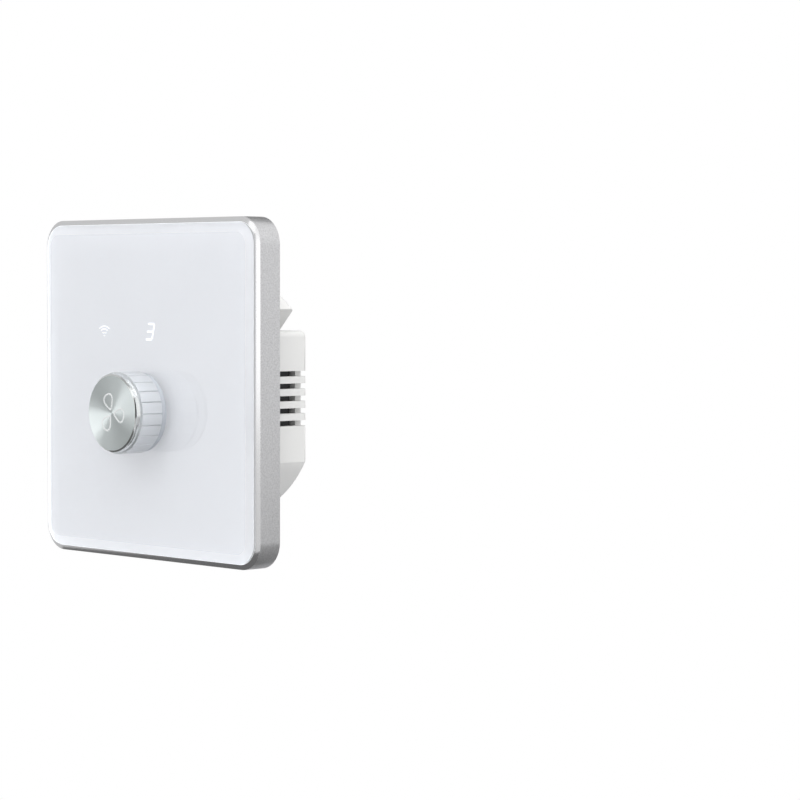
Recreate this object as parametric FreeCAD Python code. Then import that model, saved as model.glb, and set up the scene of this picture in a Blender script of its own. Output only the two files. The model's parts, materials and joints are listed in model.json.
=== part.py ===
"""Fan speed control switch: a glass wall plate with a push-and-turn knob, on a moulded rear housing.

Millimetres. X is to the right, Z is up and the front faces -Y. The origin is the middle of the
plate, on the wall: Y = 0 is the plate's back face and what goes into the wall box has Y > 0.
Each piece of the switch is written to parts/NODE.step.
"""
import FreeCAD, Part
import math
import os

V = FreeCAD.Vector

# Two places nearer than this are the same place
same = 0.01

# Plate: an aluminium frame round a glass front
plate_corner = 7.0
chamfer_inset = 1.3
chamfer_depth = 0.6
frame_wall = 1.8
ledge_reach = 3.1
ledge_thickness = 0.8
glass_thickness = 2.8
glass_gap = 0.1
glass_edge = 0.3
bevel_depth = 0.8
bevel_width = 2.4
film_thickness = 0.2
film_margin = 0.2

# Carrier: the moulded tray behind the glass
carrier_gap = 0.2
pad_gap = 0.15
carrier_thickness = 1.0
carrier_clear = 0.15
carrier_wall = 1.4
carrier_wall_setback = 0.6
post_r = 2.5
post_hole_r = 0.9
post_inset = 5.0
post_gap = 0.4
post_rise = 14.3
foot_side_inset, foot_top_inset = 9.0, 14.0
foot_wide, foot_high = 4.0, 8.0

# Knob and encoder share one axis, which runs along Y
knob_z = -5.63
knob_travel = 0.5
knob_gap = 0.7
collar_length = 1.6
collar_r = 9.95
skirt_r = 10.3
skirt_length = 6.2
skirt_wall = 1.0
knurl_count = 22
knurl_depth = 0.25
knurl_half_angle = 1.7
groove_r = 9.7
groove_length = 0.45
band_r = 10.0
band_length = 0.85
face_rim_r = 9.75
face_rim_length = 0.15
face_r = 9.35
face_bevel = 0.35
face_thickness = 1.5
hub_gap = 0.05
hub_wall = 1.2
hub_web = 1.2
hub_boss_r = 4.6
hub_rib_count = 6
hub_rib = 0.9
shaft_r = 3.0
shaft_flat = 1.5
shaft_end_gap = 0.25
shaft_clearance = 0.03
tail_r = 2.0
tail_flat = 1.3
tail_clearance = 0.05
bushing_r = 3.5
bushing_length = 6.3
panel_hole_r = 4.2
encoder_wide = 12.4
encoder_high = 12.0
encoder_depth = 5.7
encoder_flange = 0.8
encoder_sheet = 0.4
encoder_strap = 2.4
encoder_pocket_gap = 0.5
encoder_pocket_depth = 0.5
encoder_pocket_clear = 0.25
rotor_r = 4.6
rotor_length = 2.8
rotor_gap = 0.3
rotor_rim = 0.6
rotor_groove, rotor_groove_depth = 1.0, 0.8
dome_r = 2.8
dome_height = 0.4
dome_gap = 0.15
encoder_floor = 0.9
pin_wide = 0.8
pin_thick = 0.4
signal_pin_pitch = 2.5
switch_pin_pitch = 5.0

# Display: one figure and one icon, lit from behind
digit_x, digit_z = 0.5, 14.7
digit_wide, digit_high = 3.0, 4.6
digit_slant = 12.0
segment_wide = 0.55
segment_gap = 0.2
icon_x, icon_z = -17.9, 14.4
window_wide, window_high = 6.2, 6.4
guide_gap = 0.05
guide_thickness = 1.2
led_wide, led_high, led_thick = 1.0, 0.6, 0.6
display_left_margin, display_right_margin = 5.3, 12.0
display_half_height = 6.3
display_thickness = 0.8
board_gap = 0.05
peg_r = 1.0
peg_inset = 2.1
header_inset = 1.8
header_pins = 5
header_pitch = 2.54
header_wide = 2.5
header_base = 2.0
header_pin = 0.64
pin_hole_gap = 0.13
pin_tail = 0.9

# Mounting bracket: pressed steel, screwed to the wall box through two slots
bracket_edge = 2.23
bracket_margin = 3.2
bracket_corner = 4.0
bracket_thickness = 1.0
bracket_gap = 0.3
fixing_web = 0.95
fixing_r = 2.1
fixing_slot = 5.6
ear_x = 15.0
ear_sink = 0.63
ear_r = 3.6
small_screw_r = 1.2
small_screw_head_r = 2.1
small_screw_head = 1.0
small_screw_gap = 0.05
small_screw_reach = 3.0
cross_slot = 0.35
latch_side_inset, latch_top_inset = 14.0, 4.0
latch_wide = 5.0
latch_arm = 1.2
latch_nib = 0.9
latch_nib_length = 1.3
latch_gap = 0.3
latch_catch = 0.15

# Rear housing: a drum with two flat sides, two notches and an open bay for the terminals
body_z = -2.1
notch_z = 14.83
notch_gap = 0.1
drum_room = 2.3
side_wall = 2.0
rear_wall = 1.9
rear_round = 1.0
shoulder_round = 1.6
flange_width = 3.0
flange_thickness = 1.0
flange_side = 0.8
slot_count = 5
slot_pitch = 3.12
slot_height = 1.35
slot_top_z = 4.72
slot_reach = 2.4
slot_start = 3.5
bay_gap = 0.2
bay_wall = 1.6
bay_floor_thickness = 1.5

# Boards and what stands on them
board_thickness = 1.6
board_margin = 0.6
control_rise = 5.8
board_distance = 3.4
floor_gap = 0.4
boss_r = 2.6
boss_wall_gap = 1.05
boss_top_gap = 0.23
boss_gap = 0.3
chip_size, chip_thick, chip_bevel = 7.0, 1.4, 0.2
chip_gap = 2.9
module_wide, module_high, module_thick = 16.0, 11.5, 0.8
module_gap = 3.92
shield_wide, shield_high, shield_thick = 12.0, 9.0, 2.4
shield_wall = 0.3
link_pins = 8
link_offset = 0.7
link_base = 1.0
link_gap = 0.1
link_pin_clear = 0.3
relay_long, relay_wide = 17.6, 10.1
relay_wall_gap = 1.55
relay_room = 3.65
relay_top_gap = 0.58
relay_head_gap = 0.55
relay_round = 0.6
capacitor_wide = 7.8
capacitor_end_gap = 1.45
capacitor_gap = 0.6
capacitor_relay_gap = 0.45
capacitor_head_gap = 0.75
core_wide, core_high = 13.0, 10.0
core_head_gap = 2.15
core_bar = 2.6
core_post = 3.0
coil_gap = 0.3
transformer_gap = 0.4
can_r = 4.0
can_gap, can_rise = 2.5, 3.5
can_bead = 0.25
fuse_r, fuse_long = 1.6, 8.0
fuse_cap = 1.8
fuse_x = 0.0
fuse_gap = 0.4
fuse_lift = 0.9
varistor_r, varistor_thick = 4.5, 3.6
varistor_gap, varistor_rise = 4.7, 3.9

# Terminals: one pole for each wire, wires from the top and screws from the rear
pole_count = 4
pole_pitch = 6.7
block_side = 0.3
block_low_gap = 0.15
block_rim = 2.22
block_setback = 1.15
block_floor = 0.9
pocket = 5.8
pocket_floor = 1.2
cage_gap = 0.1
cage_height = 6.0
cage_wall = 0.5
leg = 1.0
leg_gap = 0.25
leg_tail = 0.3
terminal_screw_r = 1.5
terminal_head_r = 2.3
terminal_head = 1.6
terminal_well_gap = 0.3
terminal_head_setback = 0.4
terminal_neck = 1.75
drive_slot = 0.6
drive_slot_depth = 0.7

# The power board's parts, from the notch down; the housing is drawn round them
relay_top_z = notch_z - side_wall - relay_top_gap - relay_wide / 2
capacitor_high_z = relay_top_z - relay_wide / 2 - capacitor_relay_gap - capacitor_wide / 2
capacitor_pitch = capacitor_wide + capacitor_gap
fuse_z = capacitor_high_z - capacitor_pitch - capacitor_wide / 2 - fuse_gap - fuse_r
transformer_z = fuse_z - fuse_r - transformer_gap - core_high / 2
relay_side_top = notch_z - side_wall - boss_top_gap - 2 * boss_r - boss_gap
relay_side_z = relay_side_top - relay_long / 2
body_half = relay_long / 2 + relay_room + relay_wide + relay_wall_gap + side_wall
boss_x = body_half - side_wall - boss_wall_gap - boss_r
boss_high_z = relay_side_top + boss_gap + boss_r
boss_low_z = relay_side_top - relay_long - boss_gap - boss_r
low_reach = body_z - (transformer_z - core_high / 2)
boss_reach = math.hypot(boss_x, boss_high_z - body_z) + boss_r
body_r = max(low_reach, boss_reach) + drum_room + side_wall
relay_side_x = body_half - side_wall - relay_wall_gap - relay_wide / 2
capacitor_long = relay_long + 2 * (relay_room - capacitor_end_gap)
can_x = core_wide / 2 + can_gap + can_r
can_z = transformer_z + can_rise
varistor_x = -(core_wide / 2 + varistor_gap + varistor_thick / 2)
varistor_z = transformer_z + varistor_rise
bay_half = pole_count * pole_pitch / 2 + block_side + bay_gap
notch_x = bay_half + bay_wall + notch_gap
flange_half = body_half + flange_side

# The bracket clears the housing, and the plate covers the bracket: 60.3 and 86 mm, as usual
fixing_x = body_half + bracket_gap + fixing_web + fixing_slot / 2
ear_rise = body_r - ear_sink
bracket_half = ear_rise - body_z + ear_r + bracket_edge
plate_half = bracket_half + bracket_margin + frame_wall
foot_x = plate_half - foot_side_inset
foot_z = plate_half - foot_top_inset
latch_x = bracket_half - latch_side_inset
latch_z = bracket_half - latch_top_inset

# The display board lies round its figure and its icon, and the control board round the encoder
display_left = icon_x - display_left_margin
display_right = digit_x + display_right_margin
display_low = digit_z - display_half_height
display_top = digit_z + display_half_height
peg_places = ((display_left + peg_inset, display_low + peg_inset),
              (display_right - peg_inset, display_top - peg_inset))
header_z = display_low + header_inset
control_top_z = header_z + control_rise
post_x = body_half - side_wall - board_margin - post_inset
post_high_z = display_low - post_gap - post_r
post_low_z = body_z - body_r + post_rise
chip_x = encoder_wide / 2 + encoder_sheet + chip_gap + chip_size / 2
module_z = knob_z - encoder_high / 2 - module_gap - module_high / 2
link_z = module_z - link_offset

# Places along Y that follow from the sizes above
bracket_front_y = -bracket_thickness
flange_front_y = bracket_front_y - flange_thickness
carrier_back_y = flange_front_y - small_screw_head - carrier_clear
ledge_back_y = carrier_back_y - carrier_thickness
film_back_y = ledge_back_y - ledge_thickness
glass_back_y = film_back_y - film_thickness
glass_front_y = glass_back_y - glass_thickness
lip_y = glass_front_y + bevel_depth + glass_edge
frame_front_y = lip_y + chamfer_depth
encoder_front_y = carrier_back_y - encoder_pocket_depth + encoder_pocket_clear + encoder_sheet
encoder_seat_y = encoder_front_y + encoder_flange
control_front_y = encoder_seat_y + encoder_depth
control_back_y = control_front_y + board_thickness
power_front_y = control_back_y + board_distance
power_back_y = power_front_y + board_thickness
bay_floor_y = power_back_y + floor_gap
bay_front_y = bay_floor_y + bay_floor_thickness
pole_y = bay_front_y + block_low_gap + block_floor + pocket / 2
terminal_seat_y = pole_y + pocket / 2 + terminal_neck
block_back_y = terminal_seat_y + terminal_head + terminal_head_setback
body_depth = block_back_y + block_setback
rear_inner_y = body_depth - rear_wall
bushing_end_y = encoder_front_y - bushing_length
collar_back_y = glass_front_y - knob_gap
skirt_back_y = collar_back_y - collar_length
skirt_front_y = skirt_back_y - skirt_length
groove_front_y = skirt_front_y - groove_length
band_front_y = groove_front_y - band_length
face_rim_y = band_front_y - face_rim_length
face_y = face_rim_y - face_bevel
cap_inner_y = face_y + face_thickness
glass_half = plate_half - chamfer_inset - glass_gap
glass_corner = plate_corner - chamfer_inset - glass_gap
cap_bore_r = skirt_r - skirt_wall
bay_low_z = notch_z + block_low_gap
leg_z = bay_low_z + pocket_floor + cage_height / 2


def box(x0, x1, y0, y1, z0, z1):
    """A block between two opposite corners."""
    return Part.makeBox(x1 - x0, y1 - y0, z1 - z0, V(x0, y0, z0))


def block(x, z, wide, high, y0, y1):
    """A block centred on X and Z."""
    return box(x - wide / 2, x + wide / 2, y0, y1, z - high / 2, z + high / 2)


def rod(r, x, z, y0, y1):
    """A round bar along Y."""
    return Part.makeCylinder(r, y1 - y0, V(x, y0, z), V(0, 1, 0))


def outline(half_x, half_z, corner, y):
    """A rounded rectangle in the plane at this Y, with an arc at each corner."""
    edges = []
    first = last = None
    diagonal = corner * (1 - math.sqrt(0.5))
    for sx, sz in ((1, 1), (-1, 1), (-1, -1), (1, -1)):
        side = V(sx * half_x, y, sz * (half_z - corner))
        middle = V(sx * (half_x - diagonal), y, sz * (half_z - diagonal))
        top = V(sx * (half_x - corner), y, sz * half_z)
        start, end = (side, top) if sx * sz > 0 else (top, side)
        if edges:
            edges.append(Part.LineSegment(last, start).toShape())
        edges.append(Part.Arc(start, middle, end).toShape())
        first = first or start
        last = end
    edges.append(Part.LineSegment(last, first).toShape())
    return Part.Wire(edges)


def slab(half, corner, y0, y1):
    """A square plate with rounded corners, centred on the plate's middle."""
    return Part.Face(outline(half, half, corner, y0)).extrude(V(0, y1 - y0, 0))


def taper(half, corner, y0, inset, y1):
    """A square slab whose sides slope inwards by inset from y0 to y1."""
    wide = outline(half, half, corner, y0)
    narrow = outline(half - inset, half - inset, corner - inset, y1)
    return Part.makeLoft([wide, narrow], True, True)


def turned(profile, z=None):
    """A turned piece on the knob's axis, from its (radius, Y) half profile."""
    z = knob_z if z is None else z
    points = [V(r, y, z) for r, y in profile]
    face = Part.Face(Part.makePolygon(points + points[:1]))
    return face.revolve(V(0, 0, z), V(0, 1, 0), 360)


def fused(shapes):
    """One solid from touching shapes."""
    first, rest = shapes[0], shapes[1:]
    return first.multiFuse(rest).removeSplitter() if rest else first


def cut_all(shape, tools):
    """The shape with every tool taken out of it."""
    return shape.cut(tools)


def d_bar(r, flat, y0, y1):
    """A bar along the knob's axis with one flat on its upper side."""
    bar = rod(r, 0, knob_z, y0, y1)
    return bar.cut(box(-r, r, y0, y1, knob_z + flat, knob_z + r))


def edges_at(shape, y):
    """The edges that lie flat in the plane at this Y, but for those of any hole's seam."""
    return [e for e in shape.Edges if abs(e.BoundBox.YMin - y) < same and abs(e.BoundBox.YMax - y) < same]


def both_sides(x):
    """The same distance to the left and to the right."""
    return (-x, x)


def make_bezel_frame():
    """The aluminium frame: a polished chamfer, a pocket for the glass and a ledge behind it."""
    shell = fused([
        slab(plate_half, plate_corner, frame_front_y, 0),
        taper(plate_half, plate_corner, frame_front_y, chamfer_inset, lip_y),
    ])
    pocket_half = plate_half - chamfer_inset
    ledge_half = plate_half - ledge_reach
    skirt_half = plate_half - frame_wall
    return cut_all(shell, [
        slab(pocket_half, plate_corner - chamfer_inset, lip_y, film_back_y),
        slab(ledge_half, plate_corner - ledge_reach, film_back_y, ledge_back_y),
        slab(skirt_half, plate_corner - frame_wall, ledge_back_y, 0),
    ])


def make_glass_panel():
    """Toughened glass with ground edges that slope on all four sides."""
    bevel_y = glass_front_y + bevel_depth
    glass = fused([
        slab(glass_half, glass_corner, bevel_y, glass_back_y),
        taper(glass_half, glass_corner, bevel_y, bevel_width, glass_front_y),
    ])
    return glass.cut(rod(panel_hole_r, 0, knob_z, glass_front_y, glass_back_y))


def make_printed_film():
    """The white film that gives the clear glass its colour."""
    half, corner = glass_half - film_margin, glass_corner - film_margin
    film = slab(half, corner, glass_back_y, film_back_y)
    return film.cut(rod(panel_hole_r, 0, knob_z, glass_back_y, film_back_y))


def post_places():
    """Where the carrier's posts hold the control board."""
    return [(x, z) for x in both_sides(post_x) for z in (post_high_z, post_low_z)]


def latch_places():
    """Where the carrier's latches go through the bracket, with the way their nibs point."""
    return [(x, side * latch_z, side) for x in both_sides(latch_x) for side in (-1, 1)]


def make_latch(x, z, side):
    """A latch arm with its nib just behind the bracket."""
    nib_y0 = latch_catch
    nib_y1 = nib_y0 + latch_nib_length
    low, high = sorted((z, z - side * latch_arm))
    arm = box(x - latch_wide / 2, x + latch_wide / 2, carrier_back_y, nib_y1, low, high)
    ramp = [V(0, nib_y0, z), V(0, nib_y0, z + side * latch_nib), V(0, nib_y1, z)]
    nib = Part.Face(Part.makePolygon(ramp + ramp[:1])).extrude(V(latch_wide, 0, 0))
    nib.translate(V(x - latch_wide / 2, 0, 0))
    return arm.fuse(nib)


def make_panel_carrier():
    """The tray: a pad in the frame's ledge, a rim, feet, posts, pegs and four latches."""
    skirt_half = plate_half - frame_wall - carrier_gap
    skirt_corner = plate_corner - frame_wall - carrier_gap
    pad_half = plate_half - ledge_reach - pad_gap
    inner_half = skirt_half - carrier_wall
    rim = slab(skirt_half, skirt_corner, carrier_back_y, -carrier_wall_setback).cut(
        slab(inner_half, skirt_corner - carrier_wall, carrier_back_y, -carrier_wall_setback))
    tray = fused([
        slab(pad_half, plate_corner - ledge_reach - pad_gap, film_back_y, ledge_back_y),
        slab(skirt_half, skirt_corner, ledge_back_y, carrier_back_y),
        rim,
    ])
    adds = [rod(post_r, x, z, carrier_back_y, control_front_y) for x, z in post_places()]
    adds += [rod(peg_r, x, z, carrier_back_y, carrier_back_y + board_gap + display_thickness)
             for x, z in peg_places]
    adds += [block(x, z, foot_wide, foot_high, carrier_back_y, bracket_front_y)
             for x in both_sides(foot_x) for z in both_sides(foot_z)]
    adds += [make_latch(x, z, side) for x, z, side in latch_places()]
    tray = fused([tray] + adds)
    pocket_wide = encoder_wide + 4 * encoder_sheet + encoder_pocket_gap
    cuts = [
        block(0, knob_z, pocket_wide, encoder_high + encoder_pocket_gap,
              carrier_back_y - encoder_pocket_depth, carrier_back_y),
        rod(panel_hole_r, 0, knob_z, film_back_y, carrier_back_y),
    ]
    cuts += [block(x, z, window_wide, window_high, film_back_y, carrier_back_y)
             for x, z in ((digit_x, digit_z), (icon_x, icon_z))]
    cuts += [rod(post_hole_r, x, z, control_front_y - small_screw_reach, control_front_y)
             for x, z in post_places()]
    return cut_all(tray, cuts)


def digit_segments(thick):
    """The seven strokes of the figure as (x, z, wide, high), before they are slanted."""
    w, h = digit_wide / 2, digit_high / 2
    flat = digit_wide - thick - 2 * segment_gap
    upright = h - thick - 2 * segment_gap
    level = [(0, z, flat, thick) for z in (h - thick / 2, 0, thick / 2 - h)]
    side = [(x, z, thick, upright) for x in (w - thick / 2, thick / 2 - w)
            for z in (h / 2, -h / 2)]
    return level + side


def make_digit_light_guide():
    """The block behind the figure, with one light channel for each stroke."""
    y1 = film_back_y + guide_thickness
    body = block(digit_x, digit_z, window_wide - 2 * guide_gap, window_high - 2 * guide_gap,
                 film_back_y, y1)
    slant = FreeCAD.Matrix()
    slant.A13 = math.tan(math.radians(digit_slant))
    channels = []
    for x, z, wide, high in digit_segments(segment_wide):
        channel = block(x, z, wide, high, film_back_y, y1).transformGeometry(slant)
        channel.translate(V(digit_x, 0, digit_z))
        channels.append(channel)
    return cut_all(body, channels)


def make_icon_light_guide():
    """The clear block that spreads one lamp's light behind the radio icon."""
    y1 = film_back_y + guide_thickness
    wide, high = window_wide - 2 * guide_gap, window_high - 2 * guide_gap
    body = block(icon_x, icon_z, wide, high, film_back_y, y1)
    hollow = Part.makeSphere(led_wide, V(icon_x, y1, icon_z))
    return body.cut(hollow)


def header_line(count, z):
    """The pin places of a one-row header."""
    return [((i - (count - 1) / 2) * header_pitch, z) for i in range(count)]


def square_pins(places, size, y0, y1):
    """Square pins, or the holes for them."""
    return [block(x, z, size, size, y0, y1) for x, z in places]


def make_display_board():
    """The thin board with the lamps of the figure and the icon."""
    y0 = carrier_back_y + board_gap
    y1 = y0 + display_thickness
    board = box(display_left, display_right, y0, y1, display_low, display_top)
    lamps = [block(digit_x + x, digit_z + z, led_wide, led_high, y0 - led_thick, y0)
             for x, z, wide, high in digit_segments(segment_wide)]
    lamps.append(block(icon_x, icon_z, led_wide, led_high, y0 - led_thick, y0))
    holes = [rod(peg_r + board_gap, x, z, y0, y1) for x, z in peg_places]
    holes += square_pins(header_line(header_pins, header_z), header_pin + 2 * pin_hole_gap, y0, y1)
    return cut_all(fused([board] + lamps), holes)


def make_display_header():
    """The row of pins between the display board and the control board."""
    y0 = carrier_back_y + board_gap + display_thickness
    base = block(0, header_z, header_pins * header_pitch, header_wide, y0, y0 + header_base)
    pins = square_pins(header_line(header_pins, header_z), header_pin,
                       y0 - display_thickness, control_back_y + pin_tail)
    return fused([base] + pins)


def notch_cut(side, grow, y0, y1):
    """What one notch takes out of the drum: a level floor and a wall at 45 degrees."""
    level = notch_z + grow
    slope = notch_x - notch_z + grow * math.sqrt(2)
    far = 2 * body_r
    corners = [V(side * (level + slope), y0, level), V(side * far, y0, level),
               V(side * far, y0, far - slope)]
    return Part.Face(Part.makePolygon(corners + corners[:1])).extrude(V(0, y1 - y0, 0))


def shoulder_cut(side, r, half, level, y0, y1):
    """What rounds the shoulder between a flat side and the floor of its notch."""
    x = side * (half - r)
    x0, x1 = sorted((x, side * (half + r)))
    return box(x0, x1, y0, y1, level - r, level + r).cut(rod(r, x, level - r, y0, y1))


def body_section(grow, y0, y1, notched=True):
    """The housing's outline between two Ys, grown outwards or, below zero, shrunk inwards."""
    reach = body_r + grow
    half = body_half + grow
    section = rod(reach, 0, body_z, y0, y1).common(
        box(-half, half, y0, y1, body_z - reach, body_z + reach))
    if not notched:
        return section
    cuts = [notch_cut(side, grow, y0, y1) for side in (-1, 1)]
    r = shoulder_round + grow
    if r > 0:
        cuts += [shoulder_cut(side, r, half, notch_z + grow, y0, y1) for side in (-1, 1)]
    return cut_all(section, cuts).removeSplitter()


def pole_xs():
    """The middle of each terminal, from left to right."""
    return [(i - (pole_count - 1) / 2) * pole_pitch for i in range(pole_count)]


def boss_places():
    """Where the power board is screwed to the housing."""
    return [(x, z) for x in both_sides(boss_x) for z in (boss_high_z, boss_low_z)]


def ear_places():
    """Where the housing's flange is screwed to the bracket."""
    return [(x, body_z + side * ear_rise) for x in both_sides(ear_x) for side in (-1, 1)]


def rounded_drum():
    """The outside of the housing; its rear edges are rounded, but for the notches' sloping walls."""
    drum = body_section(0, flange_front_y, body_depth)
    rear = edges_at(drum, body_depth)
    sloping = [e for e in rear if type(e.Curve).__name__ == "Line"
               and min(e.BoundBox.XLength, e.BoundBox.ZLength) > rear_round]
    return drum.makeFillet(rear_round, [e for e in rear if e not in sloping])


def vent_slots():
    """The louvre cuts: through the side wall and round the rear corner, on both sides."""
    cuts = []
    inner = body_half - slot_reach
    outer = body_half + side_wall
    round_r = slot_height / 2
    for i in range(slot_count):
        z = slot_top_z - slot_height / 2 - i * slot_pitch
        for side in (-1, 1):
            x0, x1 = sorted((side * inner, side * outer))
            cuts.append(box(x0, x1, slot_start + round_r, body_depth, z - round_r, z + round_r))
            cuts.append(Part.makeCylinder(round_r, x1 - x0, V(x0, slot_start + round_r, z), V(1, 0, 0)))
    return cuts


def make_rear_housing():
    """The moulded housing: shell, flange, louvres, terminal bay and screw bosses."""
    flange = body_section(flange_width, flange_front_y, bracket_front_y, notched=False)
    ears = [rod(ear_r, x, z, flange_front_y, bracket_front_y) for x, z in ear_places()]
    flange = fused([flange] + ears).common(
        box(-flange_half, flange_half, flange_front_y, bracket_front_y, -plate_half, plate_half))
    shell = fused([rounded_drum(), flange])
    cavity = body_section(-side_wall, flange_front_y, rear_inner_y)
    bay_top = body_z + body_r
    bay_walls = box(-bay_half - bay_wall, bay_half + bay_wall, bay_floor_y, rear_inner_y,
                    notch_z - side_wall, bay_top)
    cavity = cavity.cut(bay_walls)
    bay = box(-bay_half, bay_half, bay_front_y, body_depth, notch_z, bay_top)
    shell = cut_all(shell, [cavity, bay] + vent_slots())
    bosses = [rod(boss_r, x, z, power_back_y, rear_inner_y) for x, z in boss_places()]
    shell = fused([shell] + bosses)
    leg_slot = leg + 2 * leg_gap
    cuts = [block(x, leg_z, leg_slot, leg_slot, bay_floor_y, bay_front_y) for x in pole_xs()]
    cuts += [rod(post_hole_r, x, z, power_back_y, power_back_y + small_screw_reach)
             for x, z in boss_places()]
    cuts += [rod(small_screw_r + small_screw_gap, x, z, flange_front_y, bracket_front_y)
             for x, z in ear_places()]
    return cut_all(shell, cuts)


def fixing_slot_cut(x):
    """One slot for a wall box screw."""
    reach = fixing_slot / 2 - fixing_r
    middle = box(x - reach, x + reach, bracket_front_y, 0, -fixing_r, fixing_r)
    ends = [rod(fixing_r, x + side * reach, 0, bracket_front_y, 0) for side in (-1, 1)]
    return fused([middle] + ends)


def make_mounting_bracket():
    """The steel plate that the wall box screws hold."""
    plate = slab(bracket_half, bracket_corner, bracket_front_y, 0)
    cuts = [body_section(bracket_gap, bracket_front_y, 0, notched=False)]
    cuts += [fixing_slot_cut(x) for x in both_sides(fixing_x)]
    cuts += [rod(small_screw_r + small_screw_gap, x, z, bracket_front_y, 0) for x, z in ear_places()]
    for x, z, side in latch_places():
        low, high = sorted((z + side * latch_gap, z - side * (latch_arm + 2 * latch_gap)))
        wide = latch_wide / 2 + latch_gap
        cuts.append(box(x - wide, x + wide, bracket_front_y, 0, low, high))
    return cut_all(plate, cuts)


def make_screw(x, z, head_y, way, reach, r, head_r, head):
    """A pan-head screw along Y; way is the side that its shank points to."""
    shank_y0, shank_y1 = sorted((head_y, head_y + way * reach))
    top_y0, top_y1 = sorted((head_y, head_y - way * head))
    top = rod(head_r, x, z, top_y0, top_y1)
    top = top.makeFillet(head / 3, edges_at(top, head_y - way * head))
    slot_y0, slot_y1 = sorted((head_y - way * head, head_y - way * head / 2))
    slots = [block(x, z, head_r, cross_slot, slot_y0, slot_y1),
             block(x, z, cross_slot, head_r, slot_y0, slot_y1)]
    return cut_all(fused([rod(r, x, z, shank_y0, shank_y1), top]), slots)


def make_bracket_screws():
    """The four screws that hold the housing's flange to the bracket."""
    reach = flange_thickness + bracket_thickness + small_screw_head
    return [make_screw(x, z, flange_front_y, 1, reach, small_screw_r, small_screw_head_r,
                       small_screw_head) for x, z in ear_places()]


def make_board_screws():
    """The four screws that hold the control board to the carrier's posts."""
    reach = board_thickness + small_screw_reach - 2 * small_screw_gap
    return [make_screw(x, z, control_back_y, -1, reach, post_hole_r, small_screw_head_r,
                       small_screw_head) for x, z in post_places()]


def make_power_board_screws():
    """The four screws that hold the power board to the housing's bosses."""
    reach = board_thickness + small_screw_reach - 2 * small_screw_gap
    return [make_screw(x, z, power_front_y, 1, reach, post_hole_r, small_screw_head_r,
                       small_screw_head) for x, z in boss_places()]


def encoder_pins():
    """The encoder's five solder pins: three below the body and two above it, as (x, z)."""
    low = knob_z - encoder_high / 2 + pin_thick
    high = knob_z + encoder_high / 2 - pin_thick
    signal = [(i * signal_pin_pitch, low) for i in (-1, 0, 1)]
    return signal + [(x, high) for x in both_sides(switch_pin_pitch / 2)]


def strap_x():
    """The middle of the encoder's two steel straps."""
    return encoder_wide / 2 + encoder_sheet / 2


def make_encoder_base():
    """The moulded encoder body with its rotor chamber, dome chamber and pins."""
    body = block(0, knob_z, encoder_wide, encoder_high, encoder_seat_y, control_front_y)
    tail_y = control_back_y + pin_tail
    pins = [block(x, z, pin_wide, pin_thick, control_front_y - encoder_floor, tail_y)
            for x, z in encoder_pins()]
    chamber_y = encoder_seat_y + rotor_length + 2 * rotor_gap
    cuts = [
        rod(rotor_r + rotor_gap, 0, knob_z, encoder_seat_y, chamber_y),
        rod(dome_r + rotor_gap, 0, knob_z, chamber_y, control_front_y - encoder_floor),
    ]
    return cut_all(fused([body] + pins), cuts)


def make_encoder_bushing():
    """The die-cast bushing that carries the shaft."""
    plate = block(0, knob_z, encoder_wide, encoder_high, encoder_front_y, encoder_seat_y)
    neck = rod(bushing_r, 0, knob_z, bushing_end_y, encoder_front_y)
    bore = rod(shaft_r + shaft_clearance, 0, knob_z, bushing_end_y, encoder_seat_y)
    return fused([plate, neck]).cut(bore)


def make_encoder_bracket():
    """The steel strap that clamps the encoder together and is soldered to the board."""
    top = block(0, knob_z, encoder_wide + 2 * encoder_sheet, encoder_high,
                encoder_front_y - encoder_sheet, encoder_front_y)
    straps = [block(x, knob_z, encoder_sheet, encoder_strap, encoder_front_y - encoder_sheet,
                    control_back_y + pin_tail) for x in both_sides(strap_x())]
    hole = rod(bushing_r + 2 * shaft_clearance, 0, knob_z, encoder_front_y - encoder_sheet,
               encoder_front_y)
    return fused([top] + straps).cut(hole)


def rotor_front_y():
    """The front of the rotor in its chamber."""
    return encoder_seat_y + rotor_gap


def make_encoder_rotor():
    """The wiper rotor: the shaft slides in its D-shaped hole and turns it."""
    y0 = rotor_front_y()
    y1 = y0 + rotor_length
    disc = rod(rotor_r, 0, knob_z, y0, y1)
    outer = rotor_r - rotor_rim
    inner = outer - rotor_groove
    floor_y = y1 - rotor_groove_depth
    relief = turned([(inner, floor_y), (outer, floor_y), (outer, y1), (inner, y1)])
    bore = d_bar(tail_r + tail_clearance, tail_flat + tail_clearance, y0, y1)
    return cut_all(disc, [relief, bore])


def dome_front_y():
    """The top of the pressed dome."""
    return control_front_y - encoder_floor - dome_height


def shaft_tail_y():
    """The inner end of the shaft, with the knob out."""
    return dome_front_y() - dome_gap - knob_travel


def make_encoder_shaft():
    """The steel shaft: a flat for the knob, a plain journal and a keyed tail."""
    tip_y = cap_inner_y + shaft_end_gap
    flat_end_y = bushing_end_y - knob_travel
    shoulder_y = encoder_seat_y - knob_travel
    journal = rod(shaft_r, 0, knob_z, flat_end_y, shoulder_y)
    tip = d_bar(shaft_r, shaft_flat, tip_y, flat_end_y)
    tail = d_bar(tail_r, tail_flat, shoulder_y, shaft_tail_y())
    return fused([tip, journal, tail])


def make_switch_dome():
    """The snap dome under the shaft, at the height that it has when it is pressed."""
    y1 = control_front_y - encoder_floor
    top_r = dome_r / 2
    return turned([(0, y1 - dome_height), (top_r, y1 - dome_height), (dome_r, y1), (0, y1)])


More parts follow.
